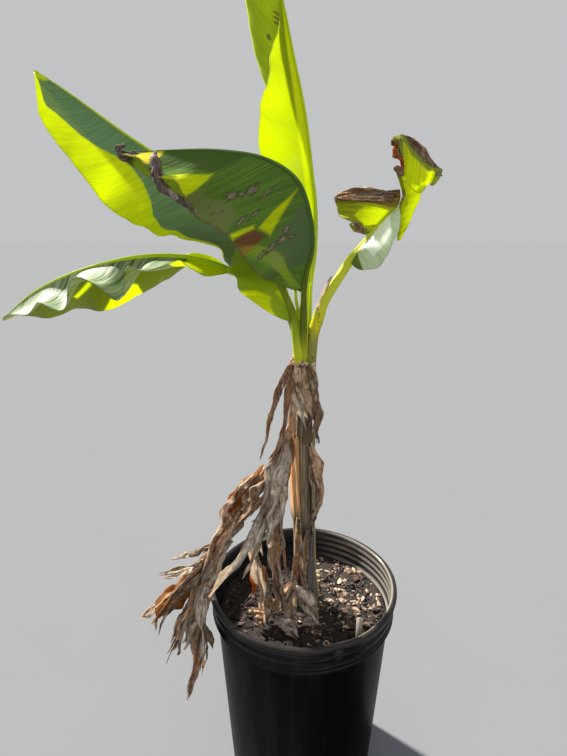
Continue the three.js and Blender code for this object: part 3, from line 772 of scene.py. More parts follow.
def leaf_finish(
    name, green, deep, lit=(), patches=(), scars=(), burn=0.0, wax_and_sheen=0.0, combed=0.0, sun=SUN, long=1.0,
    lengthwise=False,
):
    """A blade's finish. Sheet places are (along the rib, across): 0.5 across is the rib, 1 the near margin.

    lit is a broken line of such places, and beyond it the blade is painted sunlit and lets more light
    through. patches hold (colour, corners): RUST and RIPE are the leaf's own marks, and the other colours
    paint sunlight, half light or shade. scars hold (along, across, half length, half width). wax and combed
    are for the near half's upper face, and the wax colour is partly a painted sheen. long is the length
    beside a whole leaf's, and lengthwise turns the veins along a torn strip.
    """
    look = Finish(name)
    s, v = look.sheet()
    out = abs(v - 0.5) * 2
    vein, cross = (v * 0.12, s) if lengthwise else ((s - out * 0.11) * long, v)
    fine = look.cloud(look.vector(vein * 190, cross * 2.2), 1, 2)
    broad = look.cloud(look.vector(vein * 36, cross * 1.4, 3.0), 1, 3)
    rag = look.cloud(look.vector(vein * 90, v * 9, 7.0), 1, 5, 0.65)
    tone = look.rise(fine * 0.62 + broad * 0.38, 0.36, 0.64)
    colour = look.blend(tone, deep, green)
    above = look.rise(v, 0.495, 0.51)
    # The whitish colour on the near half's upper face is partly a waxy bloom and partly a painted sky sheen.
    if wax_and_sheen:
        bloom_and_sheen = look.rise(broad * 0.5 + fine * 0.5, 0.36, 0.62) * above * wax_and_sheen
        colour = look.blend(bloom_and_sheen, colour, (0.50, 0.62, 0.50))
    if combed:
        teeth = look.rise(look.cloud(look.vector(vein * 120, v * 0.6, 5.0), 1, 2), 0.53, 0.60)
        colour = look.blend(teeth * look.rise(out, 0.62, 0.15) * above * combed, colour, (0.03, 0.05, 0.03))
    # Painted sunlight: lit and the SUN patches give the blade this sunlit colour.
    sunny = look.blend(tone, [c * 0.68 for c in sun], sun)
    painted_sun_masks = []
    if lit:
        painted_sun_masks.append(look.rise(v - look.steps(s, lit), -0.008, 0.008))
        colour = look.blend(painted_sun_masks[0], colour, sunny)
    for shade, corners in patches:
        within = look.inside(s * 3, v, [(3 * a, b) for a, b in corners])
        colour = look.blend(within, colour, sunny if shade is SUN else shade)
        if shade is SUN:
            painted_sun_masks.append(within)
    dead = look.rise(out + (rag - 0.5) * 0.16, 0.975, 1.0) * burn
    colour = look.blend(dead, colour, look.blend(rag, (0.045, 0.022, 0.012), (0.30, 0.16, 0.08)))
    if scars:
        reaches = []
        for s0, v0, half_long, half_wide in scars:
            x, y = (s - s0) / half_long, (v - v0) / half_wide
            reaches.append((x * x + y * y).math("SQRT"))
        ragged = look.cloud(look.vector(vein * 130, v * 26, 9.0), 1, 5, 0.65)
        near = look.among("MINIMUM", reaches) + (ragged - 0.5) * 3.2
        ring = look.rise(near, 1.10, 0.90)
        core = look.rise(near, 0.66, 0.40)
        colour = look.blend(ring * 0.65, colour, (0.055, 0.042, 0.020))
        colour = look.blend(core, colour, look.blend(rag, (0.09, 0.065, 0.045), (0.34, 0.27, 0.22)))
        dead = dead.math("MAXIMUM", ring)
    through = look.among("MAXIMUM", painted_sun_masks) * 0.38 + 0.18 if painted_sun_masks else 0.18
    return look.close(
        {
            "Base Color": colour,
            "Roughness": 0.40 + fine * 0.14 + dead * 0.35,
            "Specular IOR Level": 0.18,
            "Normal": look.relief(fine * 1.5 + broad * 2, 0.0012, 0.7),
        },
        glow=(0.80, 0.90, 0.01), glow_share=(1 - dead * 0.8) * through,
    )


# %% One half of a blade
VEIN_PITCH, FLUTTER_PITCH = 14 * MM, 36 * MM
FIRST_ROW, LAST_ROW = 0.004, 0.996  # the outline has no width at its very ends
LEAST_WIDTH = 6
BLADE_GRID, STALK_GRID = (150, 30), (170, 24)  # steps along, lanes across


def half_row(
    rib, side, reach, skew, blunt, bulge, wave, waves, hang, end=1, opens=0, closes=1, tip=0, tears=()
):
    """The rows of one half. reach and wave are its width and ripple, in mm, and bulge is a share of the width.

    skew moves its widest place along the rib, and blunt rounds its ends.
    opens and closes say which stretch of a whole half's outline it shows, and end where on the rib it stops.
    tip is the share of its length that narrows, and tears are (place, reach, depth).
    """
    veins = rib.length * end / VEIN_PITCH
    flutters = rib.length * end / FLUTTER_PITCH

    def row(s):
        s = lerp(FIRST_ROW, LAST_ROW, s)
        t = s * end
        width = reach * math.sin(math.pi * lerp(opens, closes, s) ** skew) ** blunt + LEAST_WIDTH
        if tip:
            width *= min(1, (1 - s) / tip) ** 0.6
        for place, spread, depth in tears:
            width *= 1 - depth * max(0, 1 - abs(s - place) / spread) ** 1.5
        centre, ahead, out = rib.at(t), rib.ahead(t), along(hang, s)
        up = ahead.cross(out).normalized() * side

        def point(u):
            lift = 4 * bulge * width * u * (1 - u) + wave * u * u * math.sin(math.tau * waves * s)
            lift += 0.5 * math.sin(math.tau * veins * (s - 0.11 * u)) * u * (1.2 - u)
            lift += 0.8 * u**6 * math.sin(math.tau * flutters * s + 2 * side)
            return centre + (out * width * u + up * lift) * MM

        return point

    return row


# %% A whole leaf: two halves, and one tube for its stalk and rib


def leaf(name, rib, near, far, finish, stalk=(), radius=(), upward=(), stalk_look=None, drawn=True):
    """A blade of one or two halves, and its stalk if it has one. A drawn leaf takes over its nodes."""
    route = Route(rib)
    blade = bmesh.new()
    for side, half in ((-1, near), (1, far)):
        if not half:
            continue
        made = bent_sheet(blade, *BLADE_GRID, half_row(route, side, **half))
        uv = blade.loops.layers.uv["sheet"]
        for face in faces_of(made):
            for loop in face.loops:
                loop[uv].uv.y = 0.5 - 0.5 * side * loop[uv].uv.y
    finish_piece("blade_" + name, blade, [finish], ["blade_" + name] if drawn else (), BLADE_WALL)
    if stalk:
        tube = bmesh.new()
        bent_sheet(tube, *STALK_GRID, channel_row(Route([*stalk, *rib]), radius, upward), closed=True)
        finish_piece("stalk_" + name, tube, [stalk_look], ["petiole_" + name])


# The rib in a sunlit colour and in a shaded one: painted light and painted shade. YELLOW_RIB is the right
# leaf's own yellow.
LIT_RIB, SHADED_RIB, YELLOW_RIB = (0.52, 0.66, 0.02), (0.06, 0.13, 0.03), (0.60, 0.62, 0.04)
green_stalk = stalk_finish("green_stalk", (0.17, 0.23, 0.008), (0.90, 0.95, 0.05), 0.0, LIT_RIB)
edged_stalk = stalk_finish("edged_stalk", (0.24, 0.31, 0.010), (0.95, 1, 0.05), 0.0, LIT_RIB, 0.29)
# The top leaf's stalk is painted in sunlit greens.
lit_stalk = stalk_finish(
    "lit_stalk", (0.62, 0.70, 0.010), (0.95, 1, 0.06), 0.0, LIT_RIB, low=(0.3, 0.35, 0.02)
)
front_stalk = stalk_finish("front_stalk", (0.13, 0.165, 0.010), (0.95, 0.95, 0.10), 0.02, SHADED_RIB, 0.31)
spotted_stalk = stalk_finish(
    "spotted_stalk", (0.85, 0.76, 0.012), (0.95, 0.90, 0.16), 0.07, YELLOW_RIB,
    low=(0.20, 0.20, 0.07), low_to=0.31,
)
INWARD = (0, 1, 0.2)

# %% [markdown]
# The upper left leaf is a tent over its rib: its near half hangs towards the viewer, and the far half
# keeps the light off the upper part of it. The values stay close to the drawing's, so that the fine
# blade fits its solid.

# %% Upper left leaf
leaf(
    "upper_left",
    [(-23, -9, 683), (-38, -7, 725), (-62, -3, 772), (-120, 9, 845), (-231, 26, 953), (-345, 33, 1030),
     (-437, 28, 1095), (-490, 20, 1129)],
    dict(
        reach=140, skew=1.05, blunt=0.5, bulge=0.1, wave=5, waves=5, tip=0.07, tears=[(0, 0.09, 0.45)],
        hang=[(-0.9, -0.2, -0.35), (-0.98, -0.15, -0.1), (-0.66, -0.74, -0.08), (-0.30, -0.93, -0.17),
              (-0.12, -0.93, -0.33), (-0.32, -0.83, -0.40), (-0.40, -0.66, -0.60), (-0.41, -0.52, -0.75),
              (-0.43, -0.46, -0.77), (-0.36, -0.54, -0.76), (-0.3, -0.6, -0.74), (-0.35, -0.55, -0.76),
              (-0.4, -0.5, -0.77)],
    ),
    dict(
        reach=112, skew=1.4, blunt=0.6, bulge=0.12, wave=4, waves=4,
        hang=[(0.3, 0.9, 0.3), (-0.2, 0.88, -0.1), (-0.3, 0.85, -0.35), (-0.3, 0.85, -0.3),
              (-0.3, 0.85, -0.3)],
    ),
    leaf_finish(
        "leaf_upper_left", (0.165, 0.300, 0.140), (0.110, 0.215, 0.085), burn=0.05,
        # Its greens are its colour in shade. lit paints the sunlit band beyond the edge of the far half's
        # shadow, the first patch paints half light at the foot, and the SUN patches paint sunlight.
        lit=[(0.25, 1.02), (0.321, 0.92), (0.391, 0.95), (0.441, 0.92), (0.492, 0.91), (0.532, 0.875),
             (0.575, 0.774), (0.621, 0.701), (0.665, 0.662), (0.705, 0.656), (0.741, 0.685), (0.778, 0.713),
             (0.828, 0.743), (0.874, 0.751), (0.908, 0.771), (0.947, 0.839), (0.982, 0.79)],
        patches=[
            ((0.31, 0.44, 0.006), [(-0.1, 0.5), (0.30, 0.5), (0.22, 1.05), (-0.1, 1.05)]),
            (SUN, [(0.115, 1.05), (0.103, 0.80), (0.075, 0.70), (0.035, 0.93), (0.02, 1.05)]),
            (SUN, [(0.095, 0.51), (0.09, 0.60), (0.045, 0.57), (0.045, 0.51)]),
            (SUN, [(0.955, 0.44), (1.1, 0.44), (1.1, 0.74), (0.985, 0.72)]),
        ],
    ),
    [(-12, -4, 560), (-14, -6, 600), (-19, -9, 645)],
    [12, 9, 6.5, 5, 4.5, 3.5, 3, 2.5, 1.2],
    [INWARD, INWARD, (0.2, -0.4, 1), (0.4, -0.1, 1), (0.5, 0.1, 1)],
    edged_stalk,
)

# %% Front leaf: folded forwards, and badly spotted
leaf(
    "front",
    [(-5, -13, 743), (0, -12, 777), (9, -20, 818), (4, -36, 877), (-22, -57, 940), (-75, -78, 972),
     (-150, -102, 982), (-235, -126, 979), (-300, -142, 973)],
    dict(
        reach=162, skew=0.88, blunt=0.8, bulge=0.08, wave=5, waves=4,
        hang=[(-0.9, -0.3, -0.2), (-0.7, -0.4, -0.59), (-0.67, -0.46, -0.59), (-0.34, -0.83, -0.42),
              (0, -0.95, -0.3)],
    ),
    dict(
        reach=112, skew=0.95, blunt=0.8, bulge=0.05, wave=3, waves=4,
        hang=[(-0.5, 0.5, -0.7), (-0.55, 0.25, -0.8), (-0.5, 0.3, -0.8), (-0.3, 0.45, -0.84),
              (0, 0.3, -0.95)],
    ),
    leaf_finish(
        "leaf_front", (0.125, 0.240, 0.024), (0.064, 0.135, 0.015), burn=0.8, sun=(0.92, 1, 0.003),
        # The first three patches paint shade of different depths, and the SUN patches paint sunlight; RUST and
        # RIPE are the leaf's own marks.
        patches=[
            ((0.055, 0.110, 0.012), [(0.60, 0.5), (0.95, 0.5), (0.90, 0.80), (0.66, 0.70)]),
            ((0.150, 0.190, 0.050), [(0.66, 1.05), (0.635, 0.87), (0.50, 0.83), (0.45, 0.88), (0.43, 1.05)]),
            ((0.095, 0.155, 0.050), [(0.10, 0.5), (0.335, 0.5), (0.27, 0.85), (0.10, 1.05)]),
            (SUN, [(0.80, 0.95), (0.652, 0.705), (0.640, 0.99), (0.68, 1.05), (0.80, 1.05)]),
            (SUN, [(0.380, 0.535), (0.372, 0.70), (0.363, 0.818), (0.312, 0.775), (0.350, 0.640)]),
            (SUN, [(0.422, 0.98), (0.384, 0.84), (0.374, 0.85), (0.405, 1.0)]),
            (RUST, [(0.402, 0.98), (0.372, 0.85), (0.322, 0.806), (0.318, 0.93), (0.328, 1.0), (0.36, 1.02)]),
            (RIPE, [(0.87, 0.46), (1.05, 0.46), (1.05, 1.05), (0.885, 1.05)]),
            (RUST, [(0.90, 0.44), (1.1, 0.44), (1.1, 0.60), (0.93, 0.55)]),
        ],
        scars=[(0.520, 0.775, 0.020, 0.040), (0.497, 0.745, 0.012, 0.025), (0.486, 0.695, 0.017, 0.045),
               (0.440, 0.65, 0.005, 0.07), (0.430, 0.88, 0.008, 0.05), (0.413, 0.80, 0.006, 0.05),
               (0.515, 0.93, 0.006, 0.015), (0.50, 0.89, 0.005, 0.013), (0.55, 0.91, 0.005, 0.012),
               (0.278, 0.90, 0.009, 0.05), (0.271, 0.81, 0.011, 0.06), (0.266, 0.72, 0.011, 0.05),
               (0.288, 0.665, 0.013, 0.03), (0.251, 0.65, 0.008, 0.03), (0.99, 0.5, 0.02, 0.5)],
    ),
    [(-4, 4, 560), (-5, -3, 612), (-5, -12, 664), (-5, -13, 704)],
    [11, 8.5, 6.5, 4.5, 4, 3.5, 3, 2.5, 1.2],
    [INWARD, INWARD, (0, -1, 0.4), (0.5, -0.4, 1), (0.2, 0, 1)],
    front_stalk,
)

# %% Top leaf: a trough that stands upright and turns at its tip
leaf(
    "top",
    [(15, 20, 817), (16, 30, 891), (7, 40, 973), (-5, 48, 1060), (-31, 52, 1176), (-58, 46, 1290),
     (-81, 34, 1376)],
    dict(
        reach=98, skew=0.75, blunt=0.6, bulge=0.1, wave=3, waves=3, end=0.78,
        hang=[(-0.92, -0.2, -0.3), (-0.95, -0.1, 0.3), (-0.82, -0.5, 0.15), (-0.55, -0.8, -0.2),
              (-0.2, -0.7, -0.6)],
    ),
    dict(
        reach=90, skew=1.5, blunt=0.55, bulge=0.12, wave=3, waves=4,
        hang=[(-0.2, 0.97, 0), (-0.55, 0.83, 0.05), (-0.8, 0.44, 0.4), (-0.81, 0.22, 0.54),
              (-0.6, 0.3, 0.7)],
    ),
    leaf_finish(
        "leaf_top", (0.50, 0.62, 0.004), (0.36, 0.48, 0.004), sun=(0.31, 0.37, 0.002),
        # lit paints the near half in the sunlit colour given as sun, the first patch paints light along the
        # rib where its own shade falls, and the second paints a grey shade.
        lit=[(0, 0.51), (0.25, 0.51), (0.4, 0.49), (1, 0.49)],
        patches=[
            ((1, 1, 0.004), [(-0.1, 0.49), (1.0, 0.49), (1.0, 0.59), (-0.1, 0.57)]),
            ((0.30, 0.38, 0.060), [(0.40, 0.58), (0.33, 0.75), (0.29, 0.84), (0.24, 0.82), (0.20, 0.60)]),
        ],
        scars=[(0.627, 0.264, 0.009, 0.022), (0.68, 0.40, 0.004, 0.05), (0.695, 0.40, 0.004, 0.05),
               (0.71, 0.41, 0.004, 0.05)],
    ),
    [(1, 17, 560), (2, 20, 680), (8, 21, 760)],
    [12, 10, 6.5, 5, 4, 3.5, 3, 2.5, 1.2],
    [INWARD, INWARD, (-1, -0.6, 0), (-1, -0.3, 0), (-1, 0, 0)],
    lit_stalk,
)

# %% Lower left leaf: arched over, waxy grey above with a painted sheen, and bright beneath with painted sunlight
leaf(
    "lower_left",
    [(-148, 34, 774), (-193, 28, 792), (-242, 20, 803), (-330, 6, 804), (-436, -10, 780), (-520, -24, 742),
     (-586, -34, 690)],
    dict(
        reach=112, skew=0.9, blunt=0.55, bulge=0.12, wave=9, waves=5,
        hang=[(-0.5, -0.85, -0.1), (-0.3, -0.93, -0.1), (-0.12, -0.98, -0.04), (-0.25, -0.93, -0.12),
              (-0.05, -0.83, -0.58), (0.05, -0.96, -0.26), (0.1, -0.98, -0.10), (0.2, -0.85, -0.50),
              (0.25, -0.93, -0.25), (0.3, -0.93, -0.22), (0.4, -0.9, -0.1)],
    ),
    dict(
        reach=94, skew=0.95, blunt=0.6, bulge=0.1, wave=8, waves=4,
        hang=[(-0.6, 0.2, 0.7), (-0.35, 0.65, -0.6), (-0.05, 0.36, -0.93), (0, 0.55, -0.82),
              (-0.3, 0.7, -0.5)],
    ),
    leaf_finish(
        "leaf_lower_left", (0.14, 0.18, 0.006), (0.08, 0.115, 0.004), wax_and_sheen=0.78, combed=0.7, burn=0.3,
        # The first patch paints shade on the far half, and the SUN patches paint sunlight; RIPE is the leaf's
        # own mark.
        patches=[
            ((0.095, 0.14, 0.030), [(0.60, -0.1), (1.1, -0.1), (1.1, 0.5), (0.60, 0.5)]),
            (SUN, [(0.468, 0.30), (0.395, 0.19), (0.355, -0.05), (0.58, -0.05), (0.511, 0.17)]),
            (SUN, [(0.57, 0.43), (0.60, 0.38), (0.69, 0.25), (0.675, 0.20), (0.60, 0.32)]),
            (SUN, [(-0.05, 0.0), (0.16, 0.0), (0.20, 1.0), (-0.05, 1.0)]),
            (RIPE, [(0.93, 0.0), (1.05, 0.0), (1.05, 0.4), (0.94, 0.3)]),
        ],
    ),
    [(-10, 15, 560), (-22, 22, 665), (-60, 34, 732), (-108, 38, 764)],
    [12, 11, 9, 8, 7, 5.5, 4.5, 3.5, 1.5],
    [INWARD, INWARD, (0, 0.5, 1), (0, 0, 1), (0, 0, 1)],
    green_stalk,
)

# %% Lit edges of the channels behind the front leaf's stalk
wings = bmesh.new()
for size, points in (
    (3.2, [(-12, -4, 640), (-13, -4, 662), (-15, -3, 690), (-19, -2, 716), (-23, 0, 745), (-26, 2, 768),
           (-27, 4, 794)]),
    (4.2, [(-15, -6, 640), (-14, -6, 664), (-12, -6, 690), (-8, -6, 715), (-4, -5, 745), (-2, -4, 775)]),
    (2.6, [(6, 6, 640), (7, 6, 690), (9, 7, 752)]),
):
    row = channel_row(Route(points), [size * 0.6, size, size], [INWARD, INWARD])
    bent_sheet(wings, 40, 10, row, closed=True)
# Their bright yellow greens are painted sunlight.
wing_finish = stalk_finish(
    "lit_wing", (0.70, 0.82, 0.02), (0.95, 1, 0.08), 0.0, LIT_RIB, low=(0.2, 0.25, 0.02)
)
finish_piece("stalk_wings", wings, [wing_finish])

# %% [markdown]
# The right leaf is torn to pieces: a silver green lower half is left on the rib, a withered flap hangs
# to its left, and a brown end is held on by a strip. The flap and the end are sheets of their own, as
# in the drawing, and so is the strip, which the drawing leaves out.

# %% Right leaf and its remnants
leaf(
    "right",
    [(82, -8, 799), (104, -8, 825), (126, -4, 852), (148, 0, 876), (171, 5, 895)],
    dict(
        reach=68, skew=0.95, blunt=0.55, bulge=0.14, wave=2, waves=2,
        hang=[(0.3, -0.72, -0.62), (0.28, -0.76, -0.58), (0.23, -0.8, -0.54), (0.2, -0.8, -0.54),
              (0.15, -0.8, -0.5)],
    ),
    None,
    leaf_finish(
        "leaf_right", (0.76, 0.88, 0.60), (0.48, 0.62, 0.32), wax_and_sheen=0.4, burn=0.3, long=0.25,
        # The first patch paints a whitish highlight, and the second paints shade at the foot.
        patches=[
            ((0.95, 1, 0.86), [(0.28, 0.56), (0.86, 0.56), (0.74, 0.90), (0.34, 0.86)]),
            ((0.13, 0.19, 0.030), [(-0.1, 0.5), (0.17, 0.5), (0.10, 1.05), (-0.1, 1.05)]),
        ],
    ),
    [(9, 2, 560), (11, 1, 599), (15, 0, 653), (23, -1, 682), (32, -2, 716), (48, -4, 747), (64, -6, 772)],
    [13, 11, 11.5, 12, 12, 10.5, 7, 4.5, 2.5],
    [INWARD, INWARD, (-0.5, 0, 1), (-0.6, -0.5, 0.4), (-1, 0, 0)],
    spotted_stalk,
)
leaf(
    "right_flap",
    [(116, 0, 843), (132, 2, 860), (153, 5, 879), (171, 8, 898), (175, 10, 914), (173, 10, 928)],
    None,
    dict(
        reach=118, skew=1, blunt=1, opens=0.06, closes=0.5, bulge=0.1, wave=3, waves=1.5,
        hang=[(-0.93, 0.2, 0.25), (-0.97, 0.2, 0.05), (-0.97, 0.2, -0.1)],
        tears=[(0.2, 0.1, 0.25)],
    ),
    leaf_finish(
        "leaf_flap", (0.42, 0.46, 0.010), (0.20, 0.24, 0.008), burn=1.0, long=0.2,
        # The SUN patch paints sunlight; RUST is the flap's own dead brown.
        patches=[
            (SUN, [(0.25, 0.47), (0.60, 0.46), (0.68, 0.25), (0.40, 0.16), (0.16, 0.26)]),
            (RUST, [(0.95, -0.05), (0.76, 0.28), (0.66, 0.45), (0.75, 0.55), (1.1, 0.55), (1.1, -0.05)]),
        ],
        scars=[(0.98, 0.15, 0.10, 0.42), (0.05, 0.30, 0.08, 0.12)],
    ),
)
leaf(
    "right_tip",
    [(155, 18, 1018), (174, 16, 1022), (191, 12, 1004), (209, 6, 988), (229, 0, 972), (247, -4, 960)],
    dict(
        reach=64, skew=1.15, blunt=0.6, bulge=0.12, wave=2, waves=2,
        hang=[(0, -0.4, -0.9), (-0.22, -0.3, -0.93), (-0.3, -0.2, -0.93)],
        tears=[(0.05, 0.12, 0.5), (0.85, 0.1, 0.35)],
    ),
    None,
    leaf_finish(
        "leaf_end", (0.30, 0.36, 0.03), (0.16, 0.20, 0.02), burn=1.0, long=0.2,
        # The SUN patch paints sunlight.
        patches=[(SUN, [(0.16, 0.70), (0.5, 0.64), (0.9, 0.70), (0.88, 1.05), (0.20, 1.05)])],
        scars=[(0.5, 0.5, 0.5, 0.06), (0.95, 0.70, 0.05, 0.08)],
    ),
)
leaf(
    "right_strip",
    [(173, 4, 834), (173, 6, 869), (173, 8, 896), (178, 10, 917), (173, 12, 937), (165, 14, 958)],
    dict(
        reach=30, skew=1, blunt=0.9, bulge=0.12, wave=2, waves=1.5, closes=0.6,
        hang=[(0.9, -0.35, 0.2), (0.95, -0.3, 0), (0.95, -0.3, -0.1), (0.95, -0.3, -0.05), (0.9, -0.3, -0.1)],
    ),
    None,
    leaf_finish(
        "leaf_strip", (0.25, 0.29, 0.005), (0.14, 0.18, 0.005), burn=0.5, sun=(0.48, 0.54, 0.004),
        # lit paints the strip's sunlit side in the colour given as sun.
        long=0.25, lengthwise=True, lit=[(0, 0.62), (0.5, 0.58), (1, 0.62)],
        scars=[(0.97, 0.60, 0.03, 0.14), (0.66, 0.53, 0.06, 0.07)],
    ),
    drawn=False,
)

# %% [markdown]
# ## Dead leaves
# Dead banana leaves shred along their veins into papery ribbons that twist, pleat and fray. One wide
# ribbon per strand gives the mass, and thinner shreds that wander off beside it give the tangle. Noise
# in three directions crumples them all. A cloth simulation would soften what should look brittle.

# %% Papery finish, pale or brown


def dead_finish(name, pale, dark, stain_and_shade, glow=None, share=0.0, blot=0.85):
    """Fibres and wrinkles from dark to pale, with blots and edges of the stain's colour. The dark tone and the
    darker edges are partly painted shade.
    """
    look = Finish(name)
    s, u = look.sheet()
    here = look.place()
    fibres = look.cloud(look.vector(u * 22, s * 6, 1.0), 1, 4, 0.6)
    blots = look.cloud(here, 36, 5, 0.65)
    edge = look.rise(abs(u - 0.5) + blots * 0.12, 0.46, 0.56)
    wrinkles = look.cloud(look.stretch(here, (1, 1, 0.45)), 210, 4, 0.7)
    # Partly painted shade: the dark tone of the fibres and wrinkles, and the stain's colour along the edges.
    colour = look.blend(look.rise(fibres * 0.6 + wrinkles * 0.4, 0.40, 0.58), dark, pale)
    colour = look.blend(look.rise(blots, 0.52, 0.64) * blot, colour, stain_and_shade)
    colour = look.blend(edge * 0.7, colour, stain_and_shade)
    return look.close(
        {
            "Base Color": colour,
            "Roughness": 0.74 + fibres * 0.2,
            "Specular IOR Level": 0.2,
            "Normal": look.relief(fibres + blots + wrinkles * 1.6, 0.0032, 0.9),
        },
        glow=glow, glow_share=share,
    )


PAPER = [
    dead_finish(
        "dead_pale", (1, 0.93, 0.82), (0.30, 0.21, 0.14), (0.055, 0.03, 0.018), (1, 0.88, 0.72), 0.45, 0.6
    ),
    dead_finish(
        "dead_brown", (0.42, 0.27, 0.155), (0.05, 0.027, 0.015), (0.50, 0.40, 0.30), (0.8, 0.35, 0.1), 0.15
    ),
    dead_finish(
        "dead_amber", (0.42, 0.18, 0.045), (0.22, 0.085, 0.02), (0.08, 0.04, 0.02), (0.75, 0.30, 0.06), 0.4
    ),
    dead_finish(
        "dead_tan", (1, 0.75, 0.50), (0.18, 0.10, 0.055), (0.045, 0.025, 0.014), (1, 0.64, 0.34), 0.35
    ),
]
PALE, BROWN, AMBER, TAN = range(4)


# %% One crumpled ribbon and the shreds beside it


BACKWARD = Vector((0, 1, 0.3))  # away from the viewer: strands and margins lie square to it


def zigzag(x):
    return 4 * abs(x % 1 - 0.5) - 1


def ribbon_row(route, wide, turn, twist, folds, seed, start=0.0, stop=1.0, drift=(0.0, 0.0), crumple=1.0):
    """A pleated ribbon along part of a route. drift moves it sideways and outwards by its far end, in mm."""

    def row(s):
        ends = min(1, 0.35 + 3 * s, 0.30 + 2.2 * (1 - s))
        half = wide / 2 * ends * (1 + 0.35 * noise.noise(Vector((s * 5, seed, 0))))
        angle = turn + twist * s + 0.8 * noise.noise(Vector((s * 3, seed, 9)))

        def point(u):
            short = 0.22 * (0.5 + noise.noise(Vector((u * 6, seed, 4.4)))) * s
            t = lerp(start, stop, s - short)
            centre, ahead = route.at(t), route.ahead(t)
            across = ahead.cross(BACKWARD).normalized()
            up = across.cross(ahead)
            side = 2 * u - 1
            y = wide * (0.17 * zigzag(folds * u + 0.5 * math.sin(4 * s + seed)) + 0.14 * side * side)
            x = half * side
            flat = x * math.cos(angle) - y * math.sin(angle) + drift[0] * s
            tall = x * math.sin(angle) + y * math.cos(angle) + drift[1] * math.sin(math.pi / 2 * s)
            spot = centre + (across * flat + up * tall) * MM
            bend = noise.noise_vector(spot * 22 + Vector((seed, 0, 0))) * (4 + wide * 0.10)
            bend += noise.noise_vector(spot * 90) * 1.5
            crease = abs(noise.noise(spot * 40 + Vector((0, seed, 0)))) * 6
            return spot + (bend + up * crease) * crumple * MM

        return point

    return row


def dead_leaf(name, nodes, slot, shreds, seed, *strands, crumple=1.0):
    """Ribbons and their shreds as one piece. Strands are (points, width, twist, folds, kind of finish)."""
    throw = random.Random(seed)
    bm = bmesh.new()
    for points, wide, twist, folds, kind in strands:
        route = Route(points)
        steps = max(18, int(route.length / MM / 4.5))
        turn = throw.uniform(-0.5, 0.5)
        row = ribbon_row(route, wide, turn, twist, folds, throw.uniform(0, 50), crumple=crumple)
        bent_sheet(bm, steps, 16, row, kind)
        for _ in range(shreds):
            start = throw.uniform(0, 0.5)
            row = ribbon_row(
                route, throw.uniform(6, 17), throw.uniform(-1.2, 1.2), throw.uniform(-2, 3), 1.2,
                throw.uniform(0, 50), start, min(1, start + throw.uniform(0.3, 0.6)),
                (throw.uniform(-0.8, 0.8) * wide, throw.uniform(-0.2, 0.6) * wide),
            )
            kind = throw.choices((PALE, BROWN, TAN, AMBER), (4, 5, 4, 1))[0]
            bent_sheet(bm, max(14, steps // 2), 6, row, kind)
    finish_piece(name, bm, PAPER, nodes, PAPER_WALL)


# %% The pale bundle, the fan over the rim, and the curls
dead_leaf(
    "dead_bundle_pale", ["dead_leaf_pale"], "dead_pale", 4, 21,
    ([(-38, -12, 428), (-46, -30, 400), (-56, -50, 357), (-73, -62, 301), (-99, -76, 239), (-137, -88, 184),
      (-175, -100, 143), (-216, -112, 100)], 46, 1.4, 1.5, PALE),
    ([(-44, -32, 384), (-50, -58, 338), (-62, -72, 280), (-82, -78, 214)], 42, 0.5, 1.0, PALE),
    ([(-57, -52, 320), (-57, -56, 249), (-63, -60, 185), (-59, -58, 106), (-50, -50, 14)], 32, 1.6, 1.5,
     BROWN),
    ([(-90, -70, 262), (-106, -62, 215), (-105, -60, 150), (-92, -52, 75), (-98, -56, 12)], 26, 2.0, 1.5,
     PALE),
)
dead_leaf(
    "dead_fan_over_rim", ["dead_leaf_over_rim"], "dead_pale", 4, 34,
    ([(-24, -4, 486), (-30, -18, 460), (-44, -26, 415), (-69, -36, 370), (-103, -42, 317), (-142, -50, 259),
      (-192, -60, 181), (-248, -72, 118), (-293, -78, 66), (-322, -80, 22), (-335, -82, -32)], 38, 3.0, 1.5,
     TAN),
    ([(-128, -46, 290), (-163, -54, 236), (-201, -66, 168), (-230, -80, 100), (-259, -86, 33),
      (-306, -86, -84)], 40, 2.4, 1.5, BROWN),
    ([(-172, -60, 208), (-198, -74, 143), (-226, -88, 74), (-246, -92, 11), (-273, -92, -45)], 40, 1.6, 1.5,
     PALE),
    ([(-190, -64, 170), (-220, -84, 100), (-244, -92, 30), (-252, -92, -50)], 26, 1.9, 1.5, BROWN),
    ([(-196, -78, 130), (-240, -96, 70), (-270, -100, 10), (-282, -100, -60)], 34, 1.5, 1.5, TAN),
    ([(-210, -90, 120), (-222, -104, 60), (-216, -108, 0), (-226, -106, -70)], 30, 2.0, 1.5, PALE),
    ([(-230, -84, 66), (-234, -90, -17), (-243, -90, -103), (-272, -86, -210)], 28, 1.0, 1.5, BROWN),
    ([(-156, -54, 210), (-200, -58, 168), (-259, -56, 132), (-327, -52, 114)], 26, 1.6, 1.0, PALE),
    ([(-215, -62, 142), (-273, -64, 88), (-313, -64, 57), (-366, -62, 4)], 34, 1.2, 1.5, PALE),
    ([(-225, -66, 128), (-276, -70, 84), (-306, -74, 46), (-330, -76, 10)], 50, 0.6, 1.0, AMBER),
    ([(-160, -54, 213), (-225, -58, 187), (-287, -58, 165)], 15, 0.8, 1.0, BROWN),
)
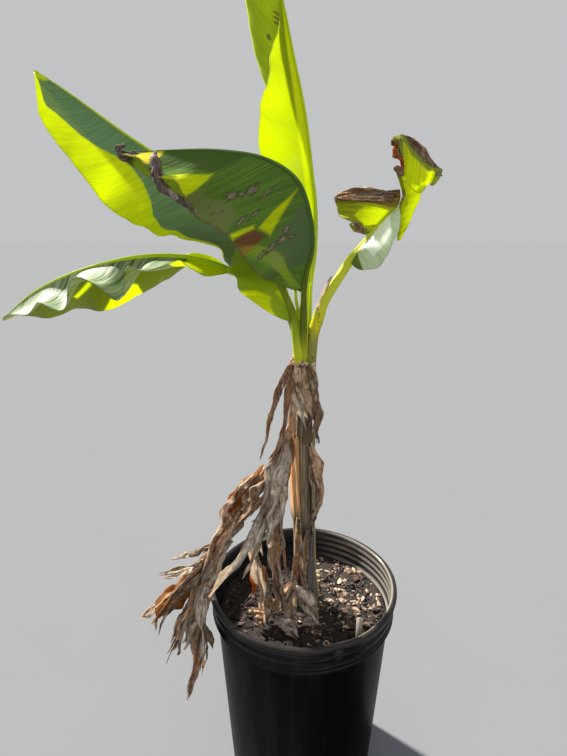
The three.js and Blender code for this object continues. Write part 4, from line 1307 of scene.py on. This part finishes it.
dead_leaf(
    "dead_curls", ["dead_leaf_curls"], "dead_brown", 3, 55,
    ([(-90, -34, 353), (-118, -38, 344), (-140, -42, 324), (-158, -46, 292), (-172, -50, 260),
      (-178, -52, 225)], 24, 2.2, 1.0, PALE),
    ([(-136, -40, 335), (-146, -34, 290), (-160, -32, 240)], 34, 0.8, 1.0, AMBER),
    ([(-84, -34, 380), (-108, -40, 330), (-128, -44, 290), (-150, -48, 236)], 34, 2.0, 1.5, TAN),
    ([(-80, -50, 350), (-108, -66, 318), (-132, -70, 276), (-150, -66, 262)], 30, 2.4, 1.0, BROWN),
    ([(-150, -30, 300), (-166, -40, 282), (-160, -56, 262), (-140, -60, 262)], 26, 1.4, 1.0, TAN),
    ([(-96, -40, 330), (-122, -50, 284), (-156, -58, 226), (-188, -62, 190)], 30, 1.8, 1.5, BROWN),
)

# %% The brown strands beside the stem, the flaps at its foot, and the wraps of the collar
dead_leaf(
    "dead_brown_drape", ["dead_leaf_brown"], "dead_brown", 4, 13,
    ([(-27, 0, 430), (-36, -20, 385), (-56, -34, 326), (-88, -34, 271), (-125, -36, 222)], 30, 1.8, 1.5,
     BROWN),
    ([(-24, -8, 470), (-44, -24, 420), (-66, -36, 370), (-92, -44, 318)], 24, 1.9, 1.0, PALE),
)
dead_leaf(
    "dead_thin_ribbons", ["dead_leaf_thin"], "dead_brown", 1, 8,
    ([(-20, -6, 580), (-32, -16, 586), (-52, -24, 547), (-67, -26, 489), (-83, -30, 431), (-92, -34, 380)],
     16, 1.6, 1.0, BROWN),
    ([(-20, -6, 578), (-30, -18, 568), (-36, -24, 517), (-44, -28, 468), (-56, -32, 420), (-76, -36, 378)],
     20, 2.0, 1.0, BROWN),
)
dead_leaf(
    "dead_foot_flaps", ["dead_leaf_foot"], "dead_pale", 2, 17,
    ([(-9, -20, 242), (-13, -30, 170), (-21, -44, 91), (-44, -54, 41), (-70, -80, 8)], 22, 1.5, 1.5, BROWN),
    ([(7, -21, 217), (4, -30, 130), (2, -42, 62), (14, -58, 30), (29, -78, 8)], 20, 1.2, 1.5, BROWN),
    ([(-24, -46, 96), (0, -56, 64), (22, -76, 24), (34, -84, 6)], 42, 0.7, 1.5, PALE),
    ([(-17, -40, 90), (-32, -62, 40), (-22, -108, 8)], 28, 1.0, 1.5, BROWN),
    ([(-62, -60, 60), (-86, -76, 30), (-112, -84, 10)], 42, 1.8, 2.0, BROWN),
    ([(-50, -84, 24), (-30, -100, 14), (-14, -112, 6)], 22, 1.5, 1.5, PALE),
)
dead_leaf(
    "dead_flap_right", ["dead_leaf_right"], "dead_brown", 1, 29,
    ([(17, -10, 412), (30, -18, 360), (37, -22, 303), (26, -26, 240)], 24, 0.7, 1.5, TAN),
    ([(16, -12, 380), (24, -20, 330), (27, -26, 280), (18, -26, 210)], 18, 1.4, 1.5, BROWN),
)
dead_leaf(
    "dead_strip_hooks", ["dead_strip_right"], "dead_brown", 1, 31,
    ([(12, -10, 566), (20, -18, 526), (27, -18, 488), (25, -18, 450), (31, -18, 427), (22, -16, 408)], 14, 1.0,
     1.0, BROWN),
)
dead_leaf(
    "collar_wraps", [], "dry_sheath", 0, 71,
    ([(-27, 6, 606), (-18, -16, 590), (-6, -22, 545), (6, -22, 508), (16, -15, 462)], 30, 0.3, 1.0, TAN),
    ([(-27, 4, 600), (-26, -12, 572), (-17, -20, 530), (-5, -22, 490), (5, -21, 455)], 26, 0.4, 1.0, PALE),
    ([(-20, -10, 606), (-29, -8, 590), (-32, -6, 548), (-30, -8, 505)], 16, 0.6, 1.0, TAN),
    ([(4, -20, 596), (16, -16, 560), (23, -10, 515), (25, -8, 460)], 18, 0.9, 1.0, BROWN),
    ([(8, -19, 588), (19, -15, 540), (15, -18, 490), (6, -20, 450)], 14, 0.5, 1.0, BROWN),
    crumple=0.45,
)

# %% [markdown]
# ## Withered margins
# Where a living leaf dies at its margin, the edge dries, darkens and rolls up. Winding the outer lanes
# of the blade itself would pull its veins along, so each rolled margin is a sheet of its own, wound
# round a route that follows the edge, and crumpled like the dead leaves.

# %% A wound sheet


def wound_row(route, radius, winds, seed, crumple):
    """The rows of a roll. Its radius is in millimetres and grows as the sheet winds round."""

    def row(s):
        centre, ahead = route.at(s), route.ahead(s)
        across = ahead.cross(BACKWARD).normalized()
        up = across.cross(ahead)
        size = along(radius, s)

        def point(u):
            turn = math.tau * winds * u + seed
            reach = size * (0.3 + 0.7 * u)
            spot = centre + (across * math.cos(turn) + up * math.sin(turn)) * reach * MM
            return spot + noise.noise_vector(spot * 75 + Vector((seed, 0, 0))) * crumple * MM

        return point

    return row


# %% Rolled margin of the front leaf and the curl at its tip
margin = bmesh.new()
edge = Route([(-243, -160, 972), (-238, -190, 950), (-232, -200, 926), (-209, -192, 905), (-181, -168, 884)])
bent_sheet(margin, 60, 18, wound_row(edge, [3, 11, 9, 8, 2], 1.2, 0.4, 3), BROWN)
tip = Route([(-270, -138, 972), (-284, -144, 972), (-298, -146, 969), (-303, -146, 979), (-293, -144, 985)])
bent_sheet(margin, 34, 14, wound_row(tip, [2, 7, 9, 7, 3], 1.1, 2.0, 5), BROWN)
scorch = dead_finish("scorched", (0.20, 0.15, 0.13), (0.045, 0.025, 0.018), (0.48, 0.42, 0.38))
finish_piece("withered_margin_front", margin, [PAPER[PALE], scorch], wall=PAPER_WALL)

# %% Curled brown edges of the torn right leaf
margin = bmesh.new()
for points, wide, folds, kind in (
    ([(54, 18, 915), (85, 14, 917), (115, 12, 918), (146, 10, 919), (176, 8, 918)], 24, 2.5, BROWN),
    ([(58, 14, 912), (95, 8, 910), (130, 4, 911), (168, 4, 906)], 12, 1.5, TAN),
    ([(155, 14, 1010), (172, 13, 1012), (200, 4, 994), (226, -3, 972), (246, -8, 952)], 24, 2.5, BROWN),
    ([(166, 10, 1014), (170, 10, 992), (180, 6, 962)], 26, 2.0, AMBER),
    ([(166, 6, 1010), (176, 4, 988), (188, 2, 972)], 18, 2.0, BROWN),
    ([(156, 2, 963), (171, -2, 958), (188, -2, 957)], 12, 1.0, BROWN),
    ([(90, 0, 872), (100, -4, 858), (108, -4, 846)], 16, 1.5, BROWN),
    ([(50, -14, 768), (38, -13, 745), (24, -12, 714), (15, -12, 688)], 9, 1.0, PALE),
):
    route = Route(points)
    bent_sheet(margin, 34, 12, ribbon_row(route, wide, 0.2, 0.5, folds, wide, crumple=0.7), kind)
finish_piece("withered_margins_right", margin, PAPER, wall=PAPER_WALL)

# %% [markdown]
# ## Floor
# A pale floor catches the shadow. It isn't attached to the plant, so it isn't part of it.

# %% Floor
look = Finish("pale_floor")
speckle = look.cloud(look.place(), 3, 4)
floor_finish = look.close({
    "Base Color": look.blend(speckle, (0.166, 0.174, 0.187), (0.176, 0.184, 0.197)),
    "Roughness": 0.85,
    "Specular IOR Level": 0.0,
})
ground = bmesh.new()
bmesh.ops.create_grid(ground, x_segments=1, y_segments=1, size=30)
floor = mesh_object("floor", ground, [floor_finish])
